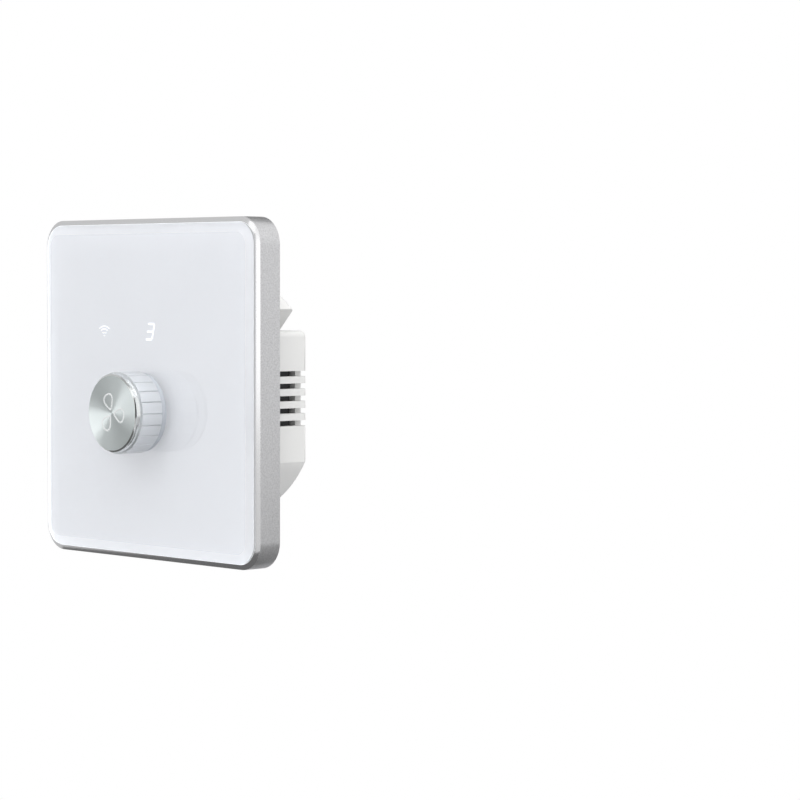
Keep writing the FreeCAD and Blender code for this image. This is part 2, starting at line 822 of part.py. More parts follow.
def make_knob_hub():
    """The moulded hub inside the knob: collar, web, ribs and a D-shaped socket."""
    ring_r = cap_bore_r - hub_gap
    tip_y = cap_inner_y + hub_gap
    web_y = skirt_back_y - hub_web
    collar_in = bushing_r + glass_gap + knob_gap
    collar = turned([(collar_in, skirt_back_y), (collar_r, skirt_back_y), (collar_r, collar_back_y),
                     (collar_in, collar_back_y)])
    web = rod(ring_r, 0, knob_z, web_y, skirt_back_y)
    ring = turned([(ring_r - hub_wall, tip_y), (ring_r, tip_y), (ring_r, web_y),
                   (ring_r - hub_wall, web_y)])
    boss = rod(hub_boss_r, 0, knob_z, tip_y, web_y)
    ribs = []
    for i in range(hub_rib_count):
        rib = box(hub_boss_r - hub_rib, ring_r - hub_wall / 2, tip_y, web_y, -hub_rib / 2, hub_rib / 2)
        rib.rotate(V(0, 0, 0), V(0, 1, 0), 360.0 * i / hub_rib_count)
        rib.translate(V(0, 0, knob_z))
        ribs.append(rib)
    socket = d_bar(shaft_r, shaft_flat, tip_y, skirt_back_y)
    return fused([collar, web, ring, boss] + ribs).cut(socket)


def knurl_groove(i):
    """One V groove along the knob's skirt."""
    half = math.radians(knurl_half_angle)
    outside = skirt_r + knurl_depth
    mouth = outside * math.tan(half)
    corners = [V(skirt_r - knurl_depth, 0, 0), V(outside, 0, mouth), V(outside, 0, -mouth)]
    groove = Part.Face(Part.makePolygon(corners + corners[:1])).extrude(V(0, skirt_length, 0))
    groove.rotate(V(0, 0, 0), V(0, 1, 0), -360.0 * i / knurl_count)
    groove.translate(V(0, skirt_front_y, knob_z))
    return groove


def make_knob_cap():
    """The aluminium cap: a spun face, polished steps, a groove and a knurled skirt."""
    cap = turned([
        (0, face_y), (face_r, face_y), (face_rim_r, face_rim_y), (face_rim_r, band_front_y),
        (band_r, groove_front_y), (groove_r, groove_front_y), (groove_r, skirt_front_y),
        (skirt_r, skirt_front_y), (skirt_r, skirt_back_y), (cap_bore_r, skirt_back_y),
        (cap_bore_r, cap_inner_y), (0, cap_inner_y),
    ])
    return cut_all(cap, [knurl_groove(i) for i in range(knurl_count)])


def make_control_board():
    """The board behind the panel, with the encoder, the controller and the radio module."""
    y0, y1 = control_front_y, control_back_y
    section = body_section(-side_wall - board_margin, y0, y1)
    board = section.common(box(-body_r, body_r, y0, y1, body_z - body_r, control_top_z))
    strap_wide = encoder_sheet + 2 * pin_hole_gap
    cuts = [rod(post_hole_r + small_screw_gap, x, z, y0, y1) for x, z in post_places()]
    cuts += square_pins(header_line(header_pins, header_z), header_pin + 2 * pin_hole_gap, y0, y1)
    cuts += square_pins(header_line(link_pins, link_z), header_pin + 2 * pin_hole_gap, y0, y1)
    cuts += [block(x, knob_z, strap_wide, encoder_strap + 2 * pin_hole_gap, y0, y1)
             for x in both_sides(strap_x())]
    cuts += [block(x, z, pin_wide + 2 * pin_hole_gap, pin_thick + 2 * pin_hole_gap, y0, y1)
             for x, z in encoder_pins()]
    return cut_all(board, cuts)


def make_controller_chip():
    """The controller chip with its rows of leads."""
    y1 = control_front_y
    chip = block(chip_x, knob_z, chip_size, chip_size, y1 - chip_thick, y1)
    return chip.makeChamfer(chip_bevel, edges_at(chip, y1 - chip_thick))


def make_wifi_module_board():
    """The radio module's own small board, soldered flat on the control board."""
    return block(0, module_z, module_wide, module_high, control_front_y - module_thick, control_front_y)


def make_wifi_shield():
    """The pressed can over the radio chip."""
    y1 = control_front_y - module_thick
    y0 = y1 - shield_thick
    can = block(0, module_z, shield_wide, shield_high, y0, y1)
    inside = block(0, module_z, shield_wide - 2 * shield_wall, shield_high - 2 * shield_wall,
                   y0 + shield_wall, y1)
    return can.cut(inside)


def make_board_header():
    """The pin row on the control board that plugs into the power board."""
    places = header_line(link_pins, link_z)
    base_y = control_back_y + link_base
    base = block(0, link_z, link_pins * header_pitch, header_wide, control_back_y, base_y)
    return fused([base] + square_pins(places, header_pin, control_front_y + board_gap,
                                      power_front_y - link_pin_clear))


def make_header_socket():
    """The socket row on the power board."""
    places = header_line(link_pins, link_z)
    y0 = control_back_y + link_base + link_gap
    body = block(0, link_z, link_pins * header_pitch, header_wide, y0, power_front_y)
    return cut_all(body, square_pins(places, header_pin + 2 * pin_hole_gap, y0, power_front_y))


def make_power_board():
    """The mains board at the back, with the relays, the capacitors and the terminals."""
    y0, y1 = power_front_y, power_back_y
    board = body_section(-side_wall - board_margin, y0, y1)
    cuts = [rod(post_hole_r + small_screw_gap, x, z, y0, y1) for x, z in boss_places()]
    hole = leg + 2 * pin_hole_gap
    cuts += [block(x, leg_z, hole, hole, y0, y1) for x in pole_xs()]
    return cut_all(board, cuts)


def rounded_case(x, z, wide, high, head_gap):
    """A moulded case that stands on the power board, with its rear edges rounded."""
    y1 = rear_inner_y - head_gap
    case = block(x, z, wide, high, power_back_y, y1)
    return case.makeFillet(relay_round, edges_at(case, y1))


def make_relays():
    """The three relays that switch the fan's speeds."""
    return [
        rounded_case(relay_side_x, relay_side_z, relay_wide, relay_long, relay_head_gap),
        rounded_case(-relay_side_x, relay_side_z, relay_wide, relay_long, relay_head_gap),
        rounded_case(0, relay_top_z, relay_long, relay_wide, relay_head_gap),
    ]


def make_speed_capacitors():
    """The two film capacitors that set the fan's lower speeds."""
    return [rounded_case(0, capacitor_high_z - i * capacitor_pitch, capacitor_long, capacitor_wide,
                         capacitor_head_gap) for i in range(2)]


def make_transformer():
    """The supply's transformer: a ferrite core round a wound bobbin, as one potted piece."""
    y0 = power_back_y
    y1 = rear_inner_y - core_head_gap
    core = block(0, transformer_z, core_wide, core_high, y0, y1)
    window_half = core_wide / 2 - core_bar
    windows = []
    for side in (-1, 1):
        x0, x1 = sorted((side * core_post / 2, side * window_half))
        windows.append(box(x0, x1, y0 + core_bar, y1 - core_bar, transformer_z - core_high / 2,
                           transformer_z + core_high / 2))
    coil = rod(window_half - coil_gap, 0, transformer_z, y0 + core_bar, y1 - core_bar)
    return fused([cut_all(core, windows), coil])


def make_bulk_capacitor():
    """The electrolytic can, with the bead rolled into its sleeve."""
    y0 = power_back_y
    y1 = rear_inner_y - capacitor_head_gap
    bead_y = y0 + can_r / 2
    can = rod(can_r, can_x, can_z, y0, y1)
    bead = Part.makeTorus(can_r + can_bead, 2 * can_bead, V(can_x, bead_y, can_z), V(0, 1, 0))
    return can.makeFillet(relay_round, edges_at(can, y1)).cut(bead)


def make_fuse():
    """The glass fuse on its two short legs."""
    y = power_back_y + fuse_lift + fuse_r
    half = fuse_long / 2
    tube = Part.makeCylinder(fuse_r - board_gap, fuse_long, V(fuse_x - half, y, fuse_z), V(1, 0, 0))
    caps = [Part.makeCylinder(fuse_r, fuse_cap, V(x, y, fuse_z), V(1, 0, 0))
            for x in (fuse_x - half, fuse_x + half - fuse_cap)]
    legs = [block(x, fuse_z, pin_wide, pin_wide, power_back_y, y)
            for x in (fuse_x - half + fuse_cap / 2, fuse_x + half - fuse_cap / 2)]
    return fused([tube] + caps + legs)


def make_varistor():
    """The disc-shaped surge absorber, standing on edge."""
    y = power_back_y + varistor_r
    disc = Part.makeCylinder(varistor_r, varistor_thick, V(varistor_x - varistor_thick / 2, y, varistor_z),
                             V(1, 0, 0))
    rims = [e for e in disc.Edges if e.BoundBox.XLength < same]
    return disc.makeFillet(varistor_thick / 4, rims)


def make_terminal_block():
    """The terminal block, with a pocket for each clamp cage and a well for each screw."""
    half = pole_count * pole_pitch / 2 + block_side
    y0 = bay_front_y + block_low_gap
    y, y1 = pole_y, block_back_y
    top_z = bay_low_z + pocket_floor + cage_height + block_rim
    body = box(-half, half, y0, y1, bay_low_z, top_z)
    cuts = []
    for x in pole_xs():
        cuts.append(box(x - pocket / 2, x + pocket / 2, y - pocket / 2, y + pocket / 2,
                        bay_low_z + pocket_floor, top_z))
        cuts.append(rod(terminal_screw_r + terminal_well_gap, x, leg_z, y + pocket / 2, y1))
        cuts.append(rod(terminal_head_r + terminal_well_gap, x, leg_z, terminal_seat_y, y1))
        slot = leg + 2 * cage_gap
        cuts.append(block(x, leg_z, slot, slot, y0, y - pocket / 2))
    return cut_all(body, cuts)


def make_clamp_cage(x):
    """One clamp cage: a square tube open at the top and bottom, with its solder leg."""
    half = pocket / 2 - cage_gap
    y = pole_y
    low = bay_low_z + pocket_floor
    top = low + cage_height
    inner = half - cage_wall
    cage = box(x - half, x + half, y - half, y + half, low, top)
    hollow = box(x - inner, x + inner, y - inner, y + inner, low, top)
    pin = block(x, leg_z, leg, leg, power_front_y - leg_tail, y - half + cage_wall / 2)
    hole = rod(terminal_screw_r + shaft_clearance, x, leg_z, y + inner, y + half)
    return fused([cage.cut(hollow), pin]).cut(hole)


def make_terminal_screw(x):
    """One slotted clamp screw, backed off so that the cage is open."""
    tip_y = pole_y + pocket / 2 - cage_gap - cage_wall
    shank = rod(terminal_screw_r, x, leg_z, tip_y, terminal_seat_y)
    head = rod(terminal_head_r, x, leg_z, terminal_seat_y, terminal_seat_y + terminal_head)
    y1 = terminal_seat_y + terminal_head
    head = head.makeFillet(terminal_head / 4, edges_at(head, y1))
    slot = block(x, leg_z, 2 * terminal_head_r, drive_slot, y1 - drive_slot_depth, y1)
    return fused([shank, head]).cut(slot)


def build():
    """Every node of the switch by name."""
    parts = {
        "bezel_frame": make_bezel_frame(),
        "glass_panel": make_glass_panel(),
        "printed_film": make_printed_film(),
        "panel_carrier": make_panel_carrier(),
        "digit_light_guide": make_digit_light_guide(),
        "icon_light_guide": make_icon_light_guide(),
        "display_board": make_display_board(),
        "display_header": make_display_header(),
        "control_board": make_control_board(),
        "controller_chip": make_controller_chip(),
        "wifi_module_board": make_wifi_module_board(),
        "wifi_shield": make_wifi_shield(),
        "encoder_base": make_encoder_base(),
        "encoder_bushing": make_encoder_bushing(),
        "encoder_bracket": make_encoder_bracket(),
        "encoder_rotor": make_encoder_rotor(),
        "encoder_shaft": make_encoder_shaft(),
        "switch_dome": make_switch_dome(),
        "knob_hub": make_knob_hub(),
        "knob_cap": make_knob_cap(),
        "board_header": make_board_header(),
        "header_socket": make_header_socket(),
        "board_screws": Part.makeCompound(make_board_screws()),
        "mounting_bracket": make_mounting_bracket(),
        "rear_housing": make_rear_housing(),
        "bracket_screws": Part.makeCompound(make_bracket_screws()),
        "power_board": make_power_board(),
        "power_board_screws": Part.makeCompound(make_power_board_screws()),
        "transformer": make_transformer(),
        "bulk_capacitor": make_bulk_capacitor(),
        "fuse": make_fuse(),
        "varistor": make_varistor(),
        "terminal_block": make_terminal_block(),
        "terminal_screws": Part.makeCompound([make_terminal_screw(x) for x in pole_xs()]),
    }
    for i, relay in enumerate(make_relays(), 1):
        parts[f"relay_{i}"] = relay
    for i, capacitor in enumerate(make_speed_capacitors(), 1):
        parts[f"speed_capacitor_{i}"] = capacitor
    for i, x in enumerate(pole_xs(), 1):
        parts[f"clamp_cage_{i}"] = make_clamp_cage(x)
    return parts


os.makedirs("parts", exist_ok=True)
for node, shape in build().items():
    shape.exportStep(f"parts/{node}.step")
    print(f"{node}: {len(shape.Solids)} solid, {shape.Volume:.1f} mm3, valid {shape.isValid()}")
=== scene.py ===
# %% [markdown]
# # A fan speed control switch
#
# This lesson dresses a wall switch that turns a fan up and down: a square of white glass in an
# aluminium frame, a spun aluminium knob that turns and clicks, and a deep moulded housing behind
# the plate. The CAD model brings every piece at its real size. What is left for Blender is what
# the eye reads first: the polished edges, the sand-blasted side, the glass over its white film,
# the lit figure, and the light of the room. Sizes of the switch are in millimetres and become
# metres with MM, and sizes of the room are in metres.

# %% Load the CAD model
import json
import math

import bmesh
import bpy
from mathutils import Matrix, Vector

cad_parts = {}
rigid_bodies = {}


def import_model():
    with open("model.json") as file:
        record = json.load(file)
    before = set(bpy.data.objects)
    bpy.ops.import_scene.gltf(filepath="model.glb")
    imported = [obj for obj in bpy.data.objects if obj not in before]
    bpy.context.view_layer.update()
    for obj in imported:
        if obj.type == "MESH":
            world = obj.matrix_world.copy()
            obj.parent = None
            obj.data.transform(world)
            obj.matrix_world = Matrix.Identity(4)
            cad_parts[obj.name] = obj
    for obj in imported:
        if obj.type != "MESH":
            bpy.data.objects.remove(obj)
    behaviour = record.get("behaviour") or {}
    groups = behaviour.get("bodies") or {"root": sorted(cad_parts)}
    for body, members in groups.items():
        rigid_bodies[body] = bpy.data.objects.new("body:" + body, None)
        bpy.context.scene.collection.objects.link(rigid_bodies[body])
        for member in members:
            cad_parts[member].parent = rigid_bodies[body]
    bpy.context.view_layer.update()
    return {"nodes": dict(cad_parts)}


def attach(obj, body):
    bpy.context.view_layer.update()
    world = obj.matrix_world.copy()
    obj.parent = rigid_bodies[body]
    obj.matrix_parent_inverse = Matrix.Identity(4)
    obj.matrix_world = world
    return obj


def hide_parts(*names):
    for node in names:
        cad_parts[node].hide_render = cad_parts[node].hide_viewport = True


MM = 0.001

for leftover in list(bpy.data.objects):
    bpy.data.objects.remove(leftover)
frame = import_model()
nodes = frame["nodes"]
bpy.context.scene.view_settings.view_transform = "Standard"

# %% [markdown]
# ## Small helpers
#
# Every mesh, lamp and camera needs an object that is linked to the scene, and every material
# needs its node tree. Shader trees and Geometry Nodes trees are both lists of nodes with links
# between their sockets. Written out by hand that takes three lines a node. The helpers below
# take one line: a value that is a socket becomes a link, and any other value is set on the
# socket itself.

# %% Object and node helpers
def new_object(name, data):
    """An object in the scene for a mesh, a lamp or a camera."""
    made = bpy.data.objects.new(name, data)
    bpy.context.scene.collection.objects.link(made)
    return made


def new_material(name):
    """A material with nodes; gives it, its tree and its Principled shader."""
    made = bpy.data.materials.new(name)
    made.use_nodes = True
    return made, made.node_tree, made.node_tree.nodes["Principled BSDF"]


def set_inputs(node, values):
    """Sets plain values on a node's inputs, by their labels."""
    for label, value in values.items():
        node.inputs[label].default_value = value


def add_node(tree, kind, inputs=None, **settings):
    """Adds a node to a tree; an input is a plain value or another node's output socket."""
    made = tree.nodes.new(kind)
    for key, value in settings.items():
        setattr(made, key, value)
    for key, value in (inputs or {}).items():
        if isinstance(value, bpy.types.NodeSocket):
            tree.links.new(value, made.inputs[key])
        else:
            made.inputs[key].default_value = value
    return made


def calculate(tree, operation, *values):
    """A Math node on up to three numbers; gives its output socket."""
    made = add_node(tree, "ShaderNodeMath", dict(enumerate(values)), operation=operation)
    return made.outputs[0]


def new_group(name, kind, takes, gives):
    """A node group with named inputs, as (name, socket type, default), and named outputs."""
    tree = bpy.data.node_groups.new(name, kind)
    for label, socket_type, default in takes:
        socket = tree.interface.new_socket(label, in_out="INPUT", socket_type=socket_type)
        if default is not None:
            socket.default_value = default
    for label, socket_type in gives:
        tree.interface.new_socket(label, in_out="OUTPUT", socket_type=socket_type)
    start = tree.nodes.new("NodeGroupInput")
    end = tree.nodes.new("NodeGroupOutput")
    return tree, start.outputs, end.inputs


# %% [markdown]
# ## The camera
#
# A camera can be guessed by eye, or solved from things of known size. This one was solved on the
# plate, which is 86 mm square: the direction it is seen from, the length of the lens and the
# place of the plate's middle, at the depth of the frame's outer edge, measured along the
# camera's own axes. From those three the camera's matrix follows, so that the plate falls on
# the same pixels as in the photograph.

# %% Camera
VIEW_AZIMUTH = math.radians(46.408)
VIEW_PITCH = math.radians(2.378)
VIEW_ROLL = math.radians(-0.0931)
LENS_MM, SENSOR_MM = 123.8, 36
NEAREST, FARTHEST = 0.01, 20
PLATE_SEEN_AT = Vector((-63.260, 2.678, -694.144)) * MM
FRAME_EDGE_Y = -6.25

upright = Matrix(((1, 0, 0), (0, 0, 1), (0, -1, 0)))
turned_view = Matrix.Rotation(VIEW_ROLL, 3, "Z") @ Matrix.Rotation(VIEW_PITCH, 3, "X")
world_to_camera = turned_view @ Matrix.Rotation(-VIEW_AZIMUTH, 3, "Y") @ upright
camera_to_world = world_to_camera.transposed()

camera = new_object("camera", bpy.data.cameras.new("camera"))
bpy.context.scene.camera = camera
camera.data.sensor_width = SENSOR_MM
camera.data.lens = LENS_MM
camera.data.clip_start = NEAREST
camera.data.clip_end = FARTHEST
camera_place = Vector((0, FRAME_EDGE_Y * MM, 0)) - camera_to_world @ PLATE_SEEN_AT
camera.matrix_world = Matrix.Translation(camera_place) @ camera_to_world.to_4x4()
print(f"camera at {[round(v, 3) for v in camera_place]} m")

# %% [markdown]
# ## The sky and the floor
#
# The photograph has a pure white background and no hard shadow, so the room is a white sky. The
# sky shows white to the camera and in reflections, but lights the switch a little less from
# below than from above. A pale floor lies far underneath and shades what faces down, and the
# camera sees it as white as the sky. A photograph of a real room would give richer light, but
# two numbers for a sky are easier to balance.

# %% Sky and floor
SKY_LOW, SKY_HIGH = 0.55, 1.0
FLOOR_Z = -0.6
FLOOR_REACH = 4.0


def flat_piece(name, corners):
    """An object with one face between four corners."""
    mesh = bpy.data.meshes.new(name)
    mesh.from_pydata(corners, [], [(0, 1, 2, 3)])
    return new_object(name, mesh)


def lying(left, right, front, back, height):
    """The corners of a level face."""
    return [(left, front, height), (right, front, height),
            (right, back, height), (left, back, height)]


world = bpy.data.worlds.new("white sky")
bpy.context.scene.world = world
world.use_nodes = True
tree = world.node_tree
direction = add_node(tree, "ShaderNodeTexCoord").outputs["Generated"]
height = add_node(tree, "ShaderNodeSeparateXYZ", {0: direction}).outputs["Z"]
sky = add_node(tree, "ShaderNodeMapRange",
               {"Value": height, "From Min": -1.0, "To Min": SKY_LOW, "To Max": SKY_HIGH})
ray = add_node(tree, "ShaderNodeLightPath").outputs
seen = calculate(tree, "MAXIMUM", ray["Is Camera Ray"],
                 calculate(tree, "MAXIMUM", ray["Is Glossy Ray"], ray["Is Transmission Ray"]))
strength = add_node(tree, "ShaderNodeMix", {"Factor": seen, "A": sky.outputs[0], "B": 1.0})
background = tree.nodes["Background"]
set_inputs(background, {"Color": (1, 1, 1, 1)})
tree.links.new(strength.outputs[0], background.inputs["Strength"])

floor = flat_piece("floor", lying(-FLOOR_REACH, FLOOR_REACH, -FLOOR_REACH, FLOOR_REACH, FLOOR_Z))
floor_finish, tree, shader = new_material("pale floor")
set_inputs(shader, {"Base Color": (0.5, 0.5, 0.51, 1), "Roughness": 0.9})
glow = add_node(tree, "ShaderNodeEmission", {"Color": (1, 1, 1, 1), "Strength": 1.0})
ray = add_node(tree, "ShaderNodeLightPath").outputs
mixed = add_node(tree, "ShaderNodeMixShader",
                 {0: ray["Is Camera Ray"], 1: shader.outputs[0], 2: glow.outputs[0]})
tree.links.new(mixed.outputs[0], tree.nodes["Material Output"].inputs["Surface"])
floor.data.materials.append(floor_finish)
print(f"sky from {SKY_LOW} to {SKY_HIGH}, floor at {FLOOR_Z} m")

# %% [markdown]
# ## The lamps
#
# Two broad lamps light the pale surfaces: one above the front, and a weaker one beside it. Small
# lamps would throw hard shadows. No reflection shows the lamps, because a lamp's plain square
# would stand out in polished metal.

# %% Lamps
def softbox(name, place, size, power):
    """A square area lamp that looks at the switch and that no reflection shows."""
    lamp = new_object(name, bpy.data.lights.new(name, "AREA"))
    lamp.data.size = size
    lamp.data.energy = power
    lamp.location = place
    lamp.rotation_euler = (-Vector(place)).to_track_quat("-Z", "Y").to_euler()
    lamp.visible_glossy = False


softbox("above the front", place=(0.34, -0.72, 0.86), size=1.3, power=14.5)
softbox("beside the front", place=(0.95, -0.62, 0.05), size=0.8, power=4.5)
print("two softboxes")

# %% [markdown]
# ## Cards for the metal and the glass to mirror
#
# Polished metal has hardly a look of its own: it shows what stands round it. So the metal and
# the glass mirror a set of cards, much as a photographer puts boards round a shiny product. There
# are grey walls, bright windows and a dark table, and one nearly black board at the right, which
# draws the thin dark line on the knob's rim. Only reflections see the cards, so each can be moved
# without a change to the light on the white pieces.

# %% Cards
GLOW_REACH = 0.75
TABLE_Z = -0.58


def card(name, corners, low, high=None):
    """A glowing card that only reflections see; its glow may change from low to high in Z."""
    made = flat_piece(name, corners)
    for ray_kind in ("camera", "diffuse", "transmission", "volume_scatter", "shadow"):
        setattr(made, "visible_" + ray_kind, False)
    glow, tree, _ = new_material(name)
    place = add_node(tree, "ShaderNodeTexCoord").outputs["Object"]
    height = add_node(tree, "ShaderNodeSeparateXYZ", {0: place}).outputs["Z"]
    level = add_node(tree, "ShaderNodeMapRange",
                     {"Value": height, "From Min": -GLOW_REACH, "From Max": GLOW_REACH,
                      "To Min": low, "To Max": low if high is None else high})
    emit = add_node(tree, "ShaderNodeEmission", {"Strength": level.outputs[0]})
    tree.links.new(emit.outputs[0], tree.nodes["Material Output"].inputs["Surface"])
    made.data.materials.append(glow)


def standing(start, end, bottom, top):
    """The corners of an upright card on a line from start to end, both as (x, y)."""
    return [(*start, bottom), (*end, bottom), (*end, top), (*start, top)]


# Each row: name, corners and glow, with a second glow where it changes upwards
CARDS = [
    ("left wall", standing((-0.9, 0.4), (-0.9, -1.5), -1.3, 1.5), 0.50, 0.60),
    ("front left wall", standing((-0.9, -1.5), (-0.18, -1.5), -1.3, 1.5), 0.50, 0.60),
    ("front window", standing((-0.18, -1.4), (0.7, -1.4), -0.08, 0.9), 1.5, 0.9),
    ("under the window", standing((-0.18, -1.4), (0.7, -1.4), TABLE_Z, -0.08), 0.6),
    ("left window", standing((-0.89, -0.05), (-0.89, -0.5), -0.19, -0.03), 3.0),
    ("high right", standing((0.12, -0.95), (0.8, -0.55), 0.5, 1.15), 1.3),
    ("high front", standing((-1.3, -1.39), (-0.18, -1.39), 0.5, 1.3), 1.1),
    ("behind above", standing((-1.3, 0.9), (-0.25, 0.9), -0.3, 1.6), 0.15),
    ("dark board", standing((0.54, -1.39), (1.3, -1.39), -0.25, 0.9), 0.02),
    ("ceiling", lying(-0.9, 0.6, -1.5, 0.4, 1.5), 0.45),
    ("dark table", lying(-0.9, 0.3, -1.5, 0.4, TABLE_Z), 0.14),
    ("floor behind", lying(-0.2, 0.9, 0.42, 1.4, TABLE_Z), 0.22),
    ("table right", lying(0.31, 1.0, -0.3, 0.41, TABLE_Z), 0.2),
    ("behind right", standing((0.1, 0.42), (0.42, 0.1), -0.5, -0.06), 0.3),
]
for row in CARDS:
    card(*row)
print(len(CARDS), "cards")

# %% [markdown]
# ## Shader groups for what the finishes share
#
# Three effects come back in many materials. A fine grain roughens moulded plastic, sand-blasted
# metal and printed film alike, only at other scales. Rings round an axis are what a lathe
# leaves. Straight streaks are what rolling leaves in sheet steel. All three are patterns that
# run from 0 to 1, and each drives the same three things: how light the colour is, how rough
# the surface is, and how high it stands.

# %% What a pattern drives
def object_mm(tree):
    """The piece's own coordinates, in millimetres."""
    place = add_node(tree, "ShaderNodeTexCoord").outputs["Object"]
    scaled = add_node(tree, "ShaderNodeVectorMath", {0: place, 1: (1000, 1000, 1000)},
                      operation="MULTIPLY")
    return scaled.outputs[0]


def varied_colour(tree, colour, pattern, contrast):
    """The colour made lighter and darker where a pattern is above and below one half."""
    offset = calculate(tree, "MULTIPLY", calculate(tree, "SUBTRACT", pattern, 0.5), contrast)
    level = calculate(tree, "ADD", offset, 1.0)
    return add_node(tree, "ShaderNodeVectorMath", {0: colour, "Scale": level},
                    operation="SCALE").outputs[0]


def bumped(tree, height, depth_mm):
    """The normal of a surface whose height pattern runs from 0 to 1."""
    depth = calculate(tree, "MULTIPLY", depth_mm, MM)
    relief = calculate(tree, "MULTIPLY", height, depth)
    made = add_node(tree, "ShaderNodeBump", {"Height": relief, "Distance": 1.0})
    return made.outputs["Normal"]


FINISH_INPUTS = [
    ("Color", "NodeSocketColor", (0.8, 0.8, 0.8, 1)),
    ("Per mm", "NodeSocketFloat", 2.0),
    ("Depth mm", "NodeSocketFloat", 0.01),
    ("Contrast", "NodeSocketFloat", 0.05),
    ("Roughness", "NodeSocketFloat", 0.5),
    ("Spread", "NodeSocketFloat", 0.1),
]
FINISH_OUTPUTS = [("Color", "NodeSocketColor"), ("Roughness", "NodeSocketFloat"),
                  ("Normal", "NodeSocketVector")]


def finish_group(name, pattern, extra=()):
    """A group whose pattern drives colour, roughness and relief."""
    tree, takes, gives = new_group(name, "ShaderNodeTree", FINISH_INPUTS + list(extra),
                                   FINISH_OUTPUTS)
    height = pattern(tree, takes)
    tree.links.new(varied_colour(tree, takes["Color"], height, takes["Contrast"]), gives["Color"])
    change = calculate(tree, "MULTIPLY", calculate(tree, "SUBTRACT", height, 0.5), takes["Spread"])
    tree.links.new(calculate(tree, "ADD", takes["Roughness"], change), gives["Roughness"])
    tree.links.new(bumped(tree, height, takes["Depth mm"]), gives["Normal"])
    return tree


# %% [markdown]
# ## The three patterns
#
# All are made of noise, because no real surface repeats. The grain is noise in space, the rings
# are noise along the radius alone, and the streaks are noise whose space is squeezed. Each
# becomes one group that is built here once; the materials place it with their own values.

# %% Grain, rings and streaks
def grain_pattern(tree, takes):
    """Irregular grains: soft noise with finer noise in it."""
    grains = add_node(tree, "ShaderNodeTexNoise",
                      {"Vector": object_mm(tree), "Scale": takes["Per mm"], "Detail": 3.0})
    return grains.outputs["Fac"]


def ring_pattern(tree, takes):
    """Rings of uneven strength round an axis along Y that passes through the centre."""
    away = add_node(tree, "ShaderNodeVectorMath", {0: object_mm(tree), 1: takes["Centre mm"]},
                    operation="SUBTRACT").outputs[0]
    flat = add_node(tree, "ShaderNodeVectorMath", {0: away, 1: (1, 0, 1)}, operation="MULTIPLY")
    radius = add_node(tree, "ShaderNodeVectorMath", {0: flat.outputs[0]}, operation="LENGTH")
    rings = add_node(tree, "ShaderNodeTexNoise",
                     {"W": radius.outputs["Value"], "Scale": takes["Per mm"], "Detail": 2.0},
                     noise_dimensions="1D")
    return rings.outputs["Fac"]


def streak_pattern(tree, takes):
    """Streaks: noise whose coordinates are squeezed along one direction."""
    squeezed = add_node(tree, "ShaderNodeVectorMath", {0: object_mm(tree), 1: takes["Stretch"]},
                        operation="MULTIPLY").outputs[0]
    streaks = add_node(tree, "ShaderNodeTexNoise",
                       {"Vector": squeezed, "Scale": takes["Per mm"], "Detail": 4.0})
    return streaks.outputs["Fac"]


GRAIN = finish_group("fine grain", grain_pattern)
RINGS = finish_group("turned rings", ring_pattern,
                     [("Centre mm", "NodeSocketVector", (0, 0, 0))])
STREAKS = finish_group("rolled streaks", streak_pattern,
                       [("Stretch", "NodeSocketVector", (1, 1, 0.04))])
print("groups:", GRAIN.name, RINGS.name, STREAKS.name)

# %% [markdown]
# ## A material from a group
#
# Each finish is a Principled shader with one of the groups in front of it. What is the same all
# over a surface, such as metalness, is a plain number on the shader. What changes over the
# surface comes out of the group.

# %% Material helpers
def finish(name, group, colour, per_mm, depth, contrast, roughness, spread, extra=None, **plain):
    """A material: the group's pattern in colour, roughness and relief, and plain shader values.

    The pattern has per_mm marks on a millimetre and is depth millimetres deep. It changes the
    colour by the share contrast and the roughness by the amount spread.
    """
    made, tree, shader = new_material(name)
    pattern = add_node(tree, "ShaderNodeGroup", node_tree=group)
    set_inputs(pattern, {"Color": (*colour, 1), "Per mm": per_mm, "Depth mm": depth,
                         "Contrast": contrast, "Roughness": roughness, "Spread": spread})
    set_inputs(pattern, extra or {})
    for label, socket in (("Color", "Base Color"), ("Roughness", "Roughness"), ("Normal", "Normal")):
        tree.links.new(pattern.outputs[label], shader.inputs[socket])
    set_inputs(shader, {key.replace("_", " "): value for key, value in plain.items()})
    return made


def dress(material, *names):
    """Gives a material to CAD nodes."""
    for name in names:
        nodes[name].data.materials.clear()
        nodes[name].data.materials.append(material)
    print(f"{material.name}: {', '.join(names)}")


def dress_grainy(rows, **plain):
    """Makes a grainy finish from each row and gives it to the nodes that the row names.

    A row has the finish's name and colour, its grains per millimetre, their depth in
    millimetres, contrast, roughness and spread, and the list of nodes.
    """
    for name, colour, *numbers, wearers in rows:
        dress(finish(name, GRAIN, colour, *numbers, **plain), *wearers)


# %% [markdown]
# ## Softer edges on the CAD pieces
#
# A CAD node comes as loose triangles with knife edges. Real edges catch a line of light. Two
# modifiers that leave the node's own mesh alone give them one: Weld joins the triangles, and
# Bevel rounds every edge that is sharper than an angle.

# %% Edge modifiers
EDGE_ANGLE = math.radians(30)
EDGE_STEPS = 2
WELD_GAP = 1e-6


def join_triangles(name):
    """Joins the loose triangles of a CAD node along the edges that they share."""
    weld = nodes[name].modifiers.new("join", "WELD")
    weld.merge_threshold = WELD_GAP


def soften(width_mm, *names):
    """Rounds the sharp edges of CAD nodes by a width in millimetres."""
    for name in names:
        join_triangles(name)
        bevel = nodes[name].modifiers.new("soft edges", "BEVEL")
        bevel.width = width_mm * MM
        bevel.segments = EDGE_STEPS
        bevel.limit_method = "ANGLE"
        bevel.angle_limit = EDGE_ANGLE
        bevel.harden_normals = True


